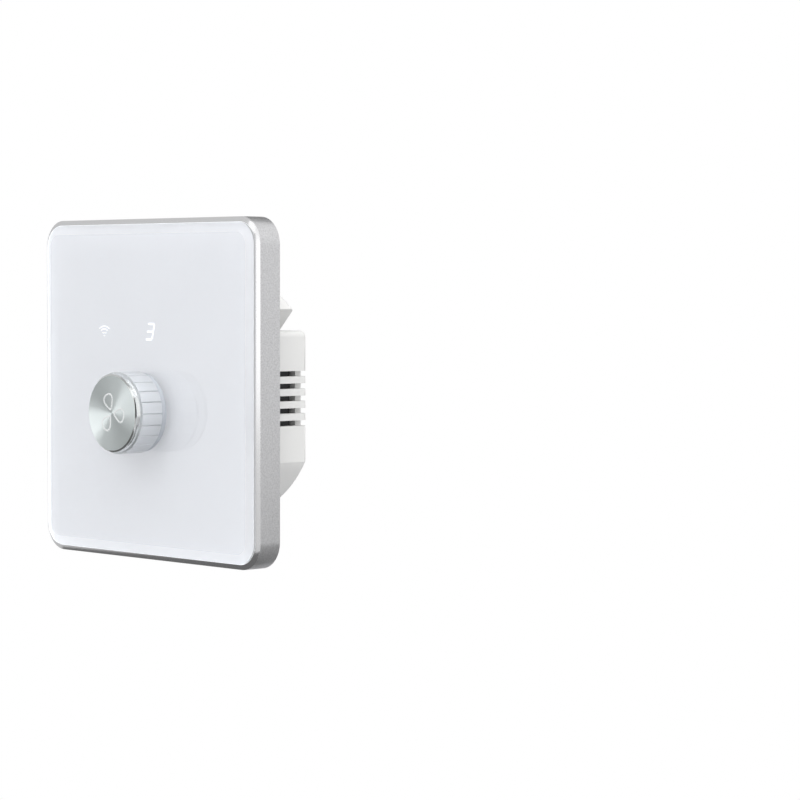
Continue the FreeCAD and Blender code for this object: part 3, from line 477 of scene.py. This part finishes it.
# %% [markdown]
# ## Geometry Nodes: a ring from a profile
#
# The frame and the knob are made by one rule. A profile is drawn once, as points with a distance
# from the corner's centre and a depth. A grid of points is then wrapped: its columns go round,
# its rows follow the profile. With four straight sides between the quarter turns it is a picture
# frame, and with none it is a turned piece. The knob's knurl is part of the rule: each column
# that falls near a groove is pulled in. Spinning a profile with an operator would do as well,
# but a tree keeps the sizes as inputs that can still be changed.

# %% The grid and its angles
MERGE_GAP = 1e-7
QUARTER_TURN = math.pi / 2


def position(tree):
    """The output socket that holds each point's position."""
    return add_node(tree, "GeometryNodeInputPosition").outputs[0]


def profile_grid(tree, takes):
    """A flat grid with a row for each point of the profile and a column for each step round it.

    Gives the mesh, the steps that one corner takes, each point's step, and the radius and depth
    that are drawn for its row.
    """
    profile = takes["Geometry"]
    count = add_node(tree, "GeometryNodeAttributeDomainSize", {"Geometry": profile})
    rows = count.outputs["Point Count"]
    per_corner = calculate(tree, "ADD", takes["Corner steps"], 1)
    around = calculate(tree, "MULTIPLY", per_corner, 4)
    grid = add_node(tree, "GeometryNodeMeshGrid",
                    {"Size X": around, "Size Y": rows,
                     "Vertices X": calculate(tree, "ADD", around, 1),
                     "Vertices Y": calculate(tree, "ADD", rows, 1)})
    place = add_node(tree, "ShaderNodeSeparateXYZ", {0: position(tree)})
    column = calculate(tree, "ROUND", calculate(
        tree, "ADD", place.outputs["X"], calculate(tree, "DIVIDE", around, 2)))
    row = calculate(tree, "ROUND", calculate(
        tree, "ADD", place.outputs["Y"], calculate(tree, "DIVIDE", rows, 2)))
    source = add_node(tree, "GeometryNodeSampleIndex",
                      {"Geometry": profile, "Value": position(tree),
                       "Index": calculate(tree, "FLOORED_MODULO", row, rows)},
                      data_type="FLOAT_VECTOR", domain="POINT")
    drawn = add_node(tree, "ShaderNodeSeparateXYZ", {0: source.outputs[0]})
    step = calculate(tree, "FLOORED_MODULO", column, around)
    return grid.outputs["Mesh"], per_corner, step, drawn.outputs["X"], drawn.outputs["Y"]


def step_angles(tree, takes, per_corner, step):
    """The angle of each step, and that of the diagonal through its corner."""
    corner = calculate(tree, "FLOOR", calculate(
        tree, "DIVIDE", calculate(tree, "ADD", step, 0.5), per_corner))
    inside = calculate(tree, "SUBTRACT", step, calculate(tree, "MULTIPLY", corner, per_corner))
    turns = calculate(tree, "ADD", corner, calculate(tree, "DIVIDE", inside, takes["Corner steps"]))
    angle = calculate(tree, "MULTIPLY", turns, QUARTER_TURN)
    diagonal = calculate(tree, "MULTIPLY", calculate(tree, "ADD", corner, 0.5), QUARTER_TURN)
    return angle, diagonal


def groove_cut(tree, takes, angle, radius, depth):
    """How far a point is pulled in: most in the middle of a groove, and nothing beside it."""
    pitch = calculate(tree, "DIVIDE", 2 * math.pi, takes["Grooves"])
    share = calculate(tree, "DIVIDE", angle, pitch)
    off = calculate(tree, "ABSOLUTE", calculate(tree, "SUBTRACT", share,
                                                calculate(tree, "ROUND", share)))
    near = calculate(tree, "SUBTRACT", 1.0, calculate(
        tree, "DIVIDE", calculate(tree, "MULTIPLY", off, pitch), takes["Groove half angle"]))
    cut = calculate(tree, "MULTIPLY", calculate(tree, "MAXIMUM", near, 0.0), takes["Groove depth"])
    outside = calculate(tree, "GREATER_THAN", radius, takes["Groove radius"])
    behind = calculate(tree, "GREATER_THAN", depth, takes["Groove front"])
    return calculate(tree, "MULTIPLY", cut, calculate(tree, "MULTIPLY", outside, behind))


# %% [markdown]
# ## The ring tree itself
#
# A step's place is the centre of its corner, which lies on the diagonal, plus the drawn radius
# along the step's own angle. Points that fall on one spot are merged, so that the ring closes
# and the middle of a turned face is one point. Every tree of this lesson ends in the same way:
# instances are made real, and the faces get their material.

# %% The ring tree
RING_INPUTS = [
    ("Geometry", "NodeSocketGeometry", None),
    ("Centre", "NodeSocketVector", (0, 0, 0)),
    ("Straight", "NodeSocketFloat", 0.0),
    ("Corner steps", "NodeSocketInt", 16),
    ("Grooves", "NodeSocketInt", 1),
    ("Groove depth", "NodeSocketFloat", 0.0),
    ("Groove half angle", "NodeSocketFloat", 0.03),
    ("Groove radius", "NodeSocketFloat", 1.0),
    ("Groove front", "NodeSocketFloat", 0.0),
    ("Material", "NodeSocketMaterial", None),
]


def end_tree(tree, takes, gives, geometry):
    """Makes instances real, gives the faces their material, and ends the tree."""
    real = add_node(tree, "GeometryNodeRealizeInstances", {"Geometry": geometry})
    coated = add_node(tree, "GeometryNodeSetMaterial",
                      {"Geometry": real.outputs[0], "Material": takes["Material"]})
    tree.links.new(coated.outputs[0], gives["Geometry"])


def ring_tree():
    """The Geometry Nodes tree that wraps a closed profile round a rounded square or a circle."""
    tree, takes, gives = new_group("ring from profile", "GeometryNodeTree", RING_INPUTS,
                                   [("Geometry", "NodeSocketGeometry")])
    grid, per_corner, step, radius, depth = profile_grid(tree, takes)
    angle, diagonal = step_angles(tree, takes, per_corner, step)
    arm = calculate(tree, "MULTIPLY", takes["Straight"], math.sqrt(2))
    reach = calculate(tree, "SUBTRACT", radius, groove_cut(tree, takes, angle, radius, depth))
    x, z = [calculate(tree, "ADD",
                      calculate(tree, "MULTIPLY", arm, calculate(tree, wave, diagonal)),
                      calculate(tree, "MULTIPLY", reach, calculate(tree, wave, angle)))
            for wave in ("COSINE", "SINE")]
    point = add_node(tree, "ShaderNodeCombineXYZ", {"X": x, "Y": depth, "Z": z})
    moved = add_node(tree, "ShaderNodeVectorMath", {0: point.outputs[0], 1: takes["Centre"]},
                     operation="ADD")
    wrapped = add_node(tree, "GeometryNodeSetPosition",
                       {"Geometry": grid, "Position": moved.outputs[0]})
    joined = add_node(tree, "GeometryNodeMergeByDistance",
                      {"Geometry": wrapped.outputs[0], "Distance": MERGE_GAP})
    end_tree(tree, takes, gives, joined.outputs[0])
    return tree


RING = ring_tree()
print("ring tree has", len(RING.nodes), "nodes")

# %% [markdown]
# ## From a tree to a plain mesh
#
# A modifier's inputs are known by identifiers, not by names, so a small table is read from the
# tree first. The evaluated result becomes the piece's own mesh, with its faces turned outwards,
# and the modifier goes.

# %% Apply a tree
SMOOTH_ANGLE = math.radians(28)


def metres(*values):
    """Millimetres as metres."""
    return tuple(value * MM for value in values)


def grown(name, tree, points, edges, values):
    """A piece from a Geometry Nodes tree: drawn points and edges in, a plain closed mesh out."""
    drawing = bpy.data.meshes.new(name + "_drawing")
    drawing.from_pydata(points, edges, [])
    piece = new_object(name, drawing)
    modifier = piece.modifiers.new("grow", "NODES")
    modifier.node_group = tree
    identifiers = {item.name: item.identifier for item in tree.interface.items_tree
                   if item.in_out == "INPUT"}
    for label, value in values.items():
        modifier[identifiers[label]] = value
    bpy.context.view_layer.update()
    evaluated = piece.evaluated_get(bpy.context.evaluated_depsgraph_get())
    mesh = bpy.data.meshes.new_from_object(evaluated)
    mesh.name = name
    piece.modifiers.clear()
    piece.data = mesh
    bpy.data.meshes.remove(drawing)
    shape = bmesh.new()
    shape.from_mesh(mesh)
    bmesh.ops.dissolve_degenerate(shape, dist=MERGE_GAP, edges=shape.edges)
    bmesh.ops.recalc_face_normals(shape, faces=shape.faces)
    shape.to_mesh(mesh)
    shape.free()
    mesh.shade_smooth()
    mesh.set_sharp_from_angle(angle=SMOOTH_ANGLE)
    print(f"{name}: {len(mesh.polygons)} faces")
    return piece


def recoat(piece, material, chosen):
    """Gives another material to the faces that a rule picks."""
    piece.data.materials.append(material)
    slot = len(piece.data.materials) - 1
    faces = [face for face in piece.data.polygons if chosen(face)]
    for face in faces:
        face.material_index = slot
    print(f"{material.name}: {len(faces)} faces of {piece.name}")


# %% [markdown]
# ## Profiles with rounded corners
#
# Even an edge that feels sharp has a radius of a few hundredths of a millimetre, and that is
# where the light catches. It could be left to a Bevel modifier, but on a drawn profile it is
# simpler to round the corners of the drawing. A corner on the axis stays, because the piece
# closes there.

# %% Profile helper
EDGE_ROUNDING = 0.05
ARC_STEPS = 3


def closed_profile(corners):
    """A closed profile with short arcs at its corners; in metres, as (x, y, 0)."""
    points = []
    for i, corner in enumerate(corners):
        here = Vector(corner)
        if here.x == 0:
            points.append(here)
            continue
        before = Vector(corners[i - 1]) - here
        after = Vector(corners[(i + 1) % len(corners)]) - here
        half_turn = before.angle(after) / 2
        setback = min(EDGE_ROUNDING / math.tan(half_turn), before.length / 3, after.length / 3)
        start = here + before.normalized() * setback
        end = here + after.normalized() * setback
        for k in range(ARC_STEPS + 1):
            t = k / ARC_STEPS
            points.append(start * (1 - t) ** 2 + here * 2 * t * (1 - t) + end * t ** 2)
    edges = [(i, (i + 1) % len(points)) for i in range(len(points))]
    return [(p.x * MM, p.y * MM, 0) for p in points], edges


# %% [markdown]
# ## The aluminium frame
#
# The real frame is drawn or pressed from aluminium, blasted with fine sand, and then its front
# edge is cut once more with a diamond, which leaves a mirror-bright slope. Inside its lip shows
# the glue that holds the glass. It is white and carries a painted glow, which lights the dark gap
# beside the glass. So the piece wears three finishes, told apart by where each face lies and the
# way it looks. The CAD frame has the same corners, but knife edges and coarser arcs. The ring
# tree gives it fine arcs and rounded edges, and so the ring takes its place.

# %% Frame
CORNER_PLACE = 36.0
FRAME_CORNER_STEPS = 44
FRAME_PROFILE = [(7, 0), (7, FRAME_EDGE_Y), (5.7, -6.85), (5.63, -6.4), (5.63, -4.95),
                 (3.9, -4.95), (3.9, -4.15), (5.2, -4.15), (5.2, 0)]
SLOPE_BACK_Y = -6.2
LIP_BACK_Y = -4.9
TURNED_TO_FRONT = -0.3

sand_blasted = finish("sand-blasted aluminium", GRAIN, (0.67, 0.67, 0.68), per_mm=2.6, depth=0.015,
                      contrast=0.6, roughness=0.42, spread=0.12, Metallic=1.0)
diamond_cut = finish("diamond-cut aluminium", STREAKS, (0.90, 0.90, 0.91), per_mm=3.0,
                     depth=0.0006, contrast=0.02, roughness=0.14, spread=0.03,
                     extra={"Stretch": (1, 1, 1)}, Metallic=1.0)
# The glue's emission is a painted glow that lights the gap between the glass and the frame.
glue_with_painted_glow = finish("white glue with painted glow", GRAIN, (0.93, 0.94, 0.95), per_mm=2.0, depth=0.01,
                    contrast=0.05, roughness=0.5, spread=0.1,
                    Emission_Color=(0.9, 0.95, 1.0, 1), Emission_Strength=0.3)


def on_the_slope(face):
    """True for faces at the frame's front that look forward."""
    return face.normal.y < TURNED_TO_FRONT and face.center.y < SLOPE_BACK_Y * MM


def inside_the_lip(face):
    """True for faces of the lip that look to the middle of the plate."""
    outward = face.normal.x * face.center.x + face.normal.z * face.center.z
    return face.center.y < LIP_BACK_Y * MM and outward < 0


points, edges = closed_profile(FRAME_PROFILE)
frame_ring = grown("aluminium_frame", RING, points, edges,
                   {"Straight": CORNER_PLACE * MM, "Corner steps": FRAME_CORNER_STEPS,
                    "Material": sand_blasted})
recoat(frame_ring, diamond_cut, on_the_slope)
recoat(frame_ring, glue_with_painted_glow, inside_the_lip)
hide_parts("bezel_frame")
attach(frame_ring, "switch")

# %% [markdown]
# ## The glass
#
# The front is clear glass, clear through and through, with ground slopes round its rim. The
# slopes are frosted, and they carry a faint painted glow. The upright edge behind the slopes has
# a stronger painted glow, which paints the front's pale border and lights the gap beside the
# frame. The clear faces, the slopes and the edge share one material, in which a group tells them
# apart by their depth.

# %% Glass
GLASS_FRONT_Y, GLASS_EDGE_Y, GLASS_BACK_Y = -7.95, -7.13, -5.15
RIM_MARGIN = 0.02
RIM_PAINTED_GLOW, EDGE_PAINTED_GLOW = 0.18, 0.9
RIM_TINT = (0.96, 0.98, 1.0)


def ground_rim_group():
    """Roughness and painted glow of the ground rim, between two depths; the front and back have
    none.
    """
    tree, takes, gives = new_group(
        "ground rim", "ShaderNodeTree",
        [("Front mm", "NodeSocketFloat", 0.0), ("Back mm", "NodeSocketFloat", 1.0),
         ("Edge mm", "NodeSocketFloat", 0.5), ("Rim roughness", "NodeSocketFloat", 0.5)],
        [("Roughness", "NodeSocketFloat"), ("Painted glow", "NodeSocketColor")])
    depth = add_node(tree, "ShaderNodeSeparateXYZ", {0: object_mm(tree)}).outputs["Y"]
    first = calculate(tree, "ADD", takes["Front mm"], RIM_MARGIN)
    last = calculate(tree, "SUBTRACT", takes["Back mm"], RIM_MARGIN)
    rim = calculate(tree, "MULTIPLY", calculate(tree, "GREATER_THAN", depth, first),
                    calculate(tree, "LESS_THAN", depth, last))
    edge = calculate(tree, "MULTIPLY", rim,
                     calculate(tree, "GREATER_THAN", depth, takes["Edge mm"]))
    level = calculate(tree, "ADD", calculate(tree, "MULTIPLY", rim, RIM_PAINTED_GLOW),
                      calculate(tree, "MULTIPLY", edge, EDGE_PAINTED_GLOW))
    shine = add_node(tree, "ShaderNodeVectorMath", {0: RIM_TINT, "Scale": level},
                     operation="SCALE")
    tree.links.new(shine.outputs[0], gives["Painted glow"])
    tree.links.new(calculate(tree, "MULTIPLY", rim, takes["Rim roughness"]), gives["Roughness"])
    return tree


# The glass's emission is a painted glow; the group gives it only to the frosted slopes and the edge.
clear_glass, tree, shader = new_material("clear glass")
set_inputs(shader, {"Base Color": (0.985, 0.99, 1.0, 1), "Transmission Weight": 1.0, "IOR": 1.5,
                    "Metallic": 0.0, "Emission Strength": 0.4})
rim = add_node(tree, "ShaderNodeGroup", node_tree=ground_rim_group())
set_inputs(rim, {"Front mm": GLASS_FRONT_Y, "Edge mm": GLASS_EDGE_Y, "Back mm": GLASS_BACK_Y,
                 "Rim roughness": 0.35})
tree.links.new(rim.outputs["Roughness"], shader.inputs["Roughness"])
tree.links.new(rim.outputs["Painted glow"], shader.inputs["Emission Color"])
dress(clear_glass, "glass_panel")

# %% [markdown]
# ## The film behind the glass
#
# The front looks white because of a printed film behind it. The CAD film touches the glass
# exactly, and two surfaces in one place flicker, so a Displace modifier shrinks the film by a
# few hundredths of a millimetre. That leaves a thin air gap, as there is behind a real pane. The
# film's white is half its colour and half a painted glow, which lights the film evenly and so
# paints the shadows on the front paler than a plain print would show them.

# %% Film
AIR_GAP = 0.03

# Half the film's white is its base colour and half is painted glow, which lifts its shadows.
print_with_painted_glow = finish("print with painted glow", GRAIN, (0.50, 0.51, 0.53), per_mm=6.0, depth=0.001,
                     contrast=0.02, roughness=0.6, spread=0.1, Specular_IOR_Level=0.2,
                     Emission_Color=(0.955, 0.97, 1.0, 1), Emission_Strength=0.38)
dress(print_with_painted_glow, "printed_film")
join_triangles("printed_film")
air_gap = nodes["printed_film"].modifiers.new("air gap", "DISPLACE")
air_gap.strength = -AIR_GAP * MM
air_gap.mid_level = 0.0

# %% [markdown]
# ## Lit and etched lines
#
# The figure, the radio sign and the fan sign are all thin lines. Each is drawn as a few points
# and given a body by one tree: a round section is swept along the drawing, squashed flat, and set
# down as many times as the sign needs. Fonts would give the figure faster, but a seven-segment
# figure is not in any font that has to be there.

# %% The line tree
SECTION_CORNERS = 8
LINE_INPUTS = [
    ("Geometry", "NodeSocketGeometry", None),
    ("Centre", "NodeSocketVector", (0, 0, 0)),
    ("Line width", "NodeSocketFloat", 0.0005),
    ("Flatness", "NodeSocketFloat", 0.1),
    ("Copies", "NodeSocketInt", 1),
    ("Material", "NodeSocketMaterial", None),
]


def line_tree():
    """Sweeps a flattened section along the drawing and repeats it round an axis along Y."""
    tree, takes, gives = new_group("flat lines", "GeometryNodeTree", LINE_INPUTS,
                                   [("Geometry", "NodeSocketGeometry")])
    path = add_node(tree, "GeometryNodeMeshToCurve", {"Mesh": takes["Geometry"]})
    half_width = calculate(tree, "MULTIPLY", takes["Line width"], 0.5)
    section = add_node(tree, "GeometryNodeCurvePrimitiveCircle",
                       {"Resolution": SECTION_CORNERS, "Radius": half_width})
    swept = add_node(tree, "GeometryNodeCurveToMesh",
                     {"Curve": path.outputs[0], "Profile Curve": section.outputs[0],
                      "Fill Caps": True})
    squash = add_node(tree, "ShaderNodeCombineXYZ", {"X": 1.0, "Y": takes["Flatness"], "Z": 1.0})
    squashed = add_node(tree, "ShaderNodeVectorMath", {0: position(tree), 1: squash.outputs[0]},
                        operation="MULTIPLY")
    flat = add_node(tree, "GeometryNodeSetPosition",
                    {"Geometry": swept.outputs[0], "Position": squashed.outputs[0]})
    places = add_node(tree, "GeometryNodeMeshLine",
                      {"Count": takes["Copies"], "Start Location": takes["Centre"],
                       "Offset": (0, 0, 0)})
    share = calculate(tree, "DIVIDE", add_node(tree, "GeometryNodeInputIndex").outputs[0],
                      takes["Copies"])
    turn = add_node(tree, "ShaderNodeCombineXYZ",
                    {"Y": calculate(tree, "MULTIPLY", share, 2 * math.pi)})
    copies = add_node(tree, "GeometryNodeInstanceOnPoints",
                      {"Points": places.outputs[0], "Instance": flat.outputs[0],
                       "Rotation": turn.outputs[0]})
    end_tree(tree, takes, gives, copies.outputs[0])
    return tree


LINES = line_tree()


def strokes(*paths, closed=False):
    """Points and edges of several open or closed paths, given as (x, z) in millimetres."""
    points, edges = [], []
    for path in paths:
        first = len(points)
        points += [metres(x, 0, z) for x, z in path]
        edges += [(first + i, first + i + 1) for i in range(len(path) - 1)]
        if closed:
            edges.append((len(points) - 1, first))
    return points, edges


print("line tree has", len(LINES.nodes), "nodes")

# %% [markdown]
# ## The lit figure
#
# The figure and the radio sign shine white through the film from light guides behind it. On a
# white front that is only just brighter than the film round it, so the glow is slight. Their
# strokes lie on the film, under the glass. A figure of seven segments is a rule too: each stroke
# joins two corners of a leaning box, and stops a little short of both.

# %% Lit figure
MARK_Y = -5.13
LIT_FLATNESS = 0.06
DIGIT_WIDE, DIGIT_HIGH, DIGIT_SLANT = 2.6, 3.95, math.tan(math.radians(15))
DIGIT_PLACE = (0.75, MARK_Y, 14.55)
DIGIT_LINE, DIGIT_GAP = 0.42, 0.2
DIGIT_STROKES = [((-1, 1), (1, 1)), ((-1, 0), (1, 0)), ((-1, -1), (1, -1)),
                 ((1, 1), (1, 0)), ((1, 0), (1, -1))]

lit, tree, shader = new_material("lit print")
set_inputs(shader, {"Base Color": (0.9, 0.92, 0.95, 1), "Emission Strength": 0.75})
speckle = add_node(tree, "ShaderNodeGroup", node_tree=GRAIN)
set_inputs(speckle, {"Color": (0.95, 0.97, 1.0, 1), "Per mm": 3.0})
tree.links.new(speckle.outputs["Color"], shader.inputs["Emission Color"])


def slanted(x, z):
    """A point of the figure: corners at plus and minus one, leaning to the right."""
    return (x * DIGIT_WIDE / 2 + z * DIGIT_HIGH / 2 * DIGIT_SLANT, z * DIGIT_HIGH / 2)


def segment(start, end):
    """One lit stroke, cut short at both ends so that neighbours don't touch."""
    a, b = Vector(slanted(*start)), Vector(slanted(*end))
    step = (b - a).normalized() * DIGIT_GAP
    return [tuple(a + step), tuple(b - step)]


points, edges = strokes(*[segment(*ends) for ends in DIGIT_STROKES])
figure = grown("lit_figure", LINES, points, edges,
               {"Centre": metres(*DIGIT_PLACE), "Line width": DIGIT_LINE * MM,
                "Flatness": LIT_FLATNESS, "Material": lit})
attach(figure, "switch")

# %% [markdown]
# ## The radio sign
#
# A lit sign shows that the switch is in reach of its radio: two arcs like low roofs, and under
# them two short dashes. The lines are half as wide as those of the figure.

# %% Radio sign
SIGN_PLACE = (-18.0, MARK_Y, 15.75)
SIGN_LINE = 0.21
SIGN_ARCS = ((3.8, 33, 0.0), (2.2, 38, -0.7))
SIGN_DASHES = ((0.8, -1.68), (0.3, -2.4))


def arc(radius, half_angle, top, steps=12):
    """An arc like a low roof, with its highest point at the given height."""
    spread = math.radians(half_angle)
    turns = [spread * (2 * k / steps - 1) for k in range(steps + 1)]
    return [(radius * math.sin(t), top + radius * (math.cos(t) - 1)) for t in turns]


arcs = [arc(*shape) for shape in SIGN_ARCS]
dashes = [[(-half, height), (half, height)] for half, height in SIGN_DASHES]
points, edges = strokes(*arcs, *dashes)
radio_sign = grown("lit_radio_sign", LINES, points, edges,
                   {"Centre": metres(*SIGN_PLACE), "Line width": SIGN_LINE * MM,
                    "Flatness": LIT_FLATNESS, "Material": lit})
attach(radio_sign, "switch")

# %% [markdown]
# ## The knob's finishes
#
# The cap is turned from aluminium rod. A lathe tool leaves fine rings on the face, and each ring
# reflects the room like a tiny curved mirror. All together they throw light into wedges that
# start at the middle. Anisotropic roughness does the same without modelling a single ring: the
# highlight is narrow across the rings and very wide along them. The step round the face is
# polished. The skirt, which the fingers hold, is satin: its fine grain scatters a good part of
# the light, so it is only half metallic.

# %% Knob finishes
KNOB_Z = -5.63

turned_values = {"Centre mm": (0, 0, KNOB_Z)}
spun_face = finish("spun aluminium", RINGS, (0.80, 0.86, 0.86), per_mm=9.0, depth=0.001,
                   contrast=0.05, roughness=0.30, spread=0.06, extra=turned_values,
                   Metallic=1.0, Anisotropic=1.0, Anisotropic_Rotation=0.25)
tree = spun_face.node_tree
tangent = add_node(tree, "ShaderNodeTangent", direction_type="RADIAL", axis="Y")
tree.links.new(tangent.outputs[0], tree.nodes["Principled BSDF"].inputs["Tangent"])
turned_skirt = finish("turned aluminium", GRAIN, (0.62, 0.64, 0.665), per_mm=8.0, depth=0.003,
                      contrast=0.04, roughness=0.30, spread=0.06, Metallic=0.5)
bright_step = finish("polished step", RINGS, (0.78, 0.80, 0.80), per_mm=5.0, depth=0.0001,
                     contrast=0.02, roughness=0.14, spread=0.02, extra=turned_values, Metallic=1.0)

# %% [markdown]
# ## The knob's cap
#
# The profile runs from the middle of the face over its rim, down the polished step into a narrow
# groove, and along the knurled skirt to the back. The ring tree turns it, and cuts the grooves of
# the knurl only where the radius and the depth are those of the skirt. The CAD cap has knife
# edges and wider grooves, and so this one takes its place.

# %% Knob cap
CAP_FACE_Y = -18.22
CAP_CORNER_STEPS = 88
CAP_PROFILE = [(0, CAP_FACE_Y), (9.35, CAP_FACE_Y), (9.75, -17.9), (9.75, -17.75), (10.0, -16.9),
               (9.7, -16.9), (9.7, -16.45), (10.3, -16.45), (10.3, -10.25), (9.3, -10.25),
               (9.3, -16.75), (0, -16.75)]
GROOVES, GROOVE_DEPTH, GROOVE_HALF_ANGLE = 22, 0.25, math.radians(1.02)
GROOVE_RADIUS, GROOVE_FRONT_Y = 10.1, -16.5
STEP_BACK_Y = -16.46
FACE_MARGIN = 0.01

points, edges = closed_profile(CAP_PROFILE)
cap = grown("turned_knob_cap", RING, points, edges,
            {"Centre": metres(0, 0, KNOB_Z), "Corner steps": CAP_CORNER_STEPS,
             "Grooves": GROOVES, "Groove depth": GROOVE_DEPTH * MM,
             "Groove half angle": GROOVE_HALF_ANGLE, "Groove radius": GROOVE_RADIUS * MM,
             "Groove front": GROOVE_FRONT_Y * MM, "Material": turned_skirt})
recoat(cap, bright_step, lambda face: face.center.y < STEP_BACK_Y * MM)
recoat(cap, spun_face, lambda face: face.center.y < (CAP_FACE_Y + FACE_MARGIN) * MM)
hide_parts("knob_cap")
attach(cap, "knob")

# %% [markdown]
# ## The fan sign
#
# Three loops shaped like drops are etched on the face. An etched line is matt, so it looks the
# same from all sides while the turned face round it changes. The drop is a rule: its width grows
# with a sine and its end is round. It is drawn once, and the line tree sets it down three times
# round the knob's axis.

# %% Fan sign
DROP_START, DROP_END, DROP_WIDE = 0.95, 4.95, 2.4
DROP_FULL, DROP_TAPER = 0.62, 0.38
DROP_FIRST = math.radians(112.5)
DROP_LINE, DROP_FLATNESS, DROPS = 0.46, 0.1, 3


def drop(steps=28):
    """A closed loop along the first direction, narrow at the middle of the knob."""
    outline = []
    for k in range(steps):
        t = 2 * math.pi * k / steps
        along = DROP_START + (DROP_END - DROP_START) * (1 - math.cos(t)) / 2
        wide = DROP_WIDE * math.sin(t) * (DROP_FULL - DROP_TAPER * math.cos(t))
        outline.append((along * math.cos(DROP_FIRST) - wide * math.sin(DROP_FIRST),
                        along * math.sin(DROP_FIRST) + wide * math.cos(DROP_FIRST)))
    return outline


etched = finish("etched line", GRAIN, (0.74, 0.76, 0.76), per_mm=12.0, depth=0.002,
                contrast=0.08, roughness=0.55, spread=0.1, Metallic=0.6)
points, edges = strokes(drop(), closed=True)
fan_sign = grown("etched_fan_sign", LINES, points, edges,
                 {"Centre": metres(0, CAP_FACE_Y, KNOB_Z), "Line width": DROP_LINE * MM,
                  "Flatness": DROP_FLATNESS, "Copies": DROPS, "Material": etched})
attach(fan_sign, "knob")

# %% [markdown]
# ## The housing and the other plastics
#
# Moulded plastic takes the skin of its mould: a spark-eroded grain that keeps it from shining.
# The grain is the same group everywhere, and only its size and depth differ. A table says what
# each plastic is and who wears it, which is shorter than a material written out for each.

# %% Moulded pieces
RELAYS = ["relay_1", "relay_2", "relay_3"]

dress_grainy([
    ("housing plastic", (0.71, 0.71, 0.70), 3.0, 0.006, 0.03, 0.42, 0.12, ["rear_housing"]),
    ("carrier plastic", (0.72, 0.72, 0.72), 3.0, 0.004, 0.03, 0.5, 0.1, ["panel_carrier"]),
    ("light guide", (0.86, 0.88, 0.90), 2.0, 0.002, 0.02, 0.25, 0.1,
     ["digit_light_guide", "icon_light_guide"]),
    ("terminal plastic", (0.62, 0.63, 0.62), 3.0, 0.005, 0.04, 0.45, 0.1, ["terminal_block"]),
    ("hub plastic", (0.43, 0.46, 0.50), 4.0, 0.003, 0.04, 0.38, 0.1, ["knob_hub"]),
    ("black plastic", (0.03, 0.03, 0.032), 4.0, 0.004, 0.2, 0.5, 0.15,
     ["display_header", "controller_chip", "board_header", "header_socket", *RELAYS]),
    ("encoder plastic", (0.05, 0.06, 0.07), 4.0, 0.004, 0.2, 0.45, 0.1, ["encoder_base"]),
    ("rotor plastic", (0.75, 0.74, 0.70), 4.0, 0.003, 0.03, 0.4, 0.1, ["encoder_rotor"]),
])
soften(0.25, "rear_housing")
soften(0.1, "panel_carrier", "knob_hub", *RELAYS)

# %% [markdown]
# ## Metal pieces
#
# The bracket is stamped from rolled steel, which keeps faint streaks in the rolling direction.
# The shaft is turned, so it has rings. Plated screws and cans are brighter and smoother, and the
# clamps in the terminals are brass.

# %% Metal pieces
rolled_steel = finish("rolled steel", STREAKS, (0.62, 0.63, 0.64), per_mm=1.2, depth=0.001,
                      contrast=0.12, roughness=0.36, spread=0.15, Metallic=1.0)
dress(rolled_steel, "mounting_bracket")
shaft_steel = finish("shaft steel", RINGS, (0.66, 0.66, 0.67), per_mm=5.0, depth=0.001,
                     contrast=0.06, roughness=0.24, spread=0.08, extra=turned_values, Metallic=1.0)
dress(shaft_steel, "encoder_shaft")
dress_grainy([
    ("plated steel", (0.70, 0.70, 0.71), 3.0, 0.0003, 0.06, 0.28, 0.12,
     ["wifi_shield", "encoder_bushing", "encoder_bracket", "switch_dome", "board_screws",
      "bracket_screws", "power_board_screws", "terminal_screws"]),
    ("brass", (0.78, 0.60, 0.30), 3.0, 0.001, 0.08, 0.3, 0.12,
     ["clamp_cage_1", "clamp_cage_2", "clamp_cage_3", "clamp_cage_4"]),
], Metallic=1.0)

# %% [markdown]
# ## Boards and their components
#
# Nobody sees these until the switch is opened. A board is green lacquer over a weave of glass
# fibre, and each component keeps the usual colour of its kind.

# %% Boards and components
board_lacquer = finish("board lacquer", STREAKS, (0.035, 0.16, 0.07), per_mm=1.6, depth=0.002,
                       contrast=0.35, roughness=0.35, spread=0.1,
                       extra={"Stretch": (0.3, 1, 2.0)})
dress(board_lacquer, "display_board", "control_board", "wifi_module_board", "power_board")
can_sleeve = finish("can sleeve", STREAKS, (0.03, 0.035, 0.06), per_mm=1.0, depth=0.001,
                    contrast=0.25, roughness=0.3, spread=0.1, extra={"Stretch": (1, 0.1, 1)})
dress(can_sleeve, "bulk_capacitor")
dress_grainy([
    ("capacitor case", (0.62, 0.42, 0.06), 3.0, 0.003, 0.06, 0.4, 0.1,
     ["speed_capacitor_1", "speed_capacitor_2"]),
    ("ferrite", (0.06, 0.055, 0.05), 5.0, 0.004, 0.3, 0.6, 0.15, ["transformer"]),
    ("fuse body", (0.65, 0.62, 0.55), 4.0, 0.001, 0.1, 0.3, 0.1, ["fuse"]),
    ("varistor coating", (0.03, 0.14, 0.42), 2.0, 0.008, 0.15, 0.4, 0.15, ["varistor"]),
])
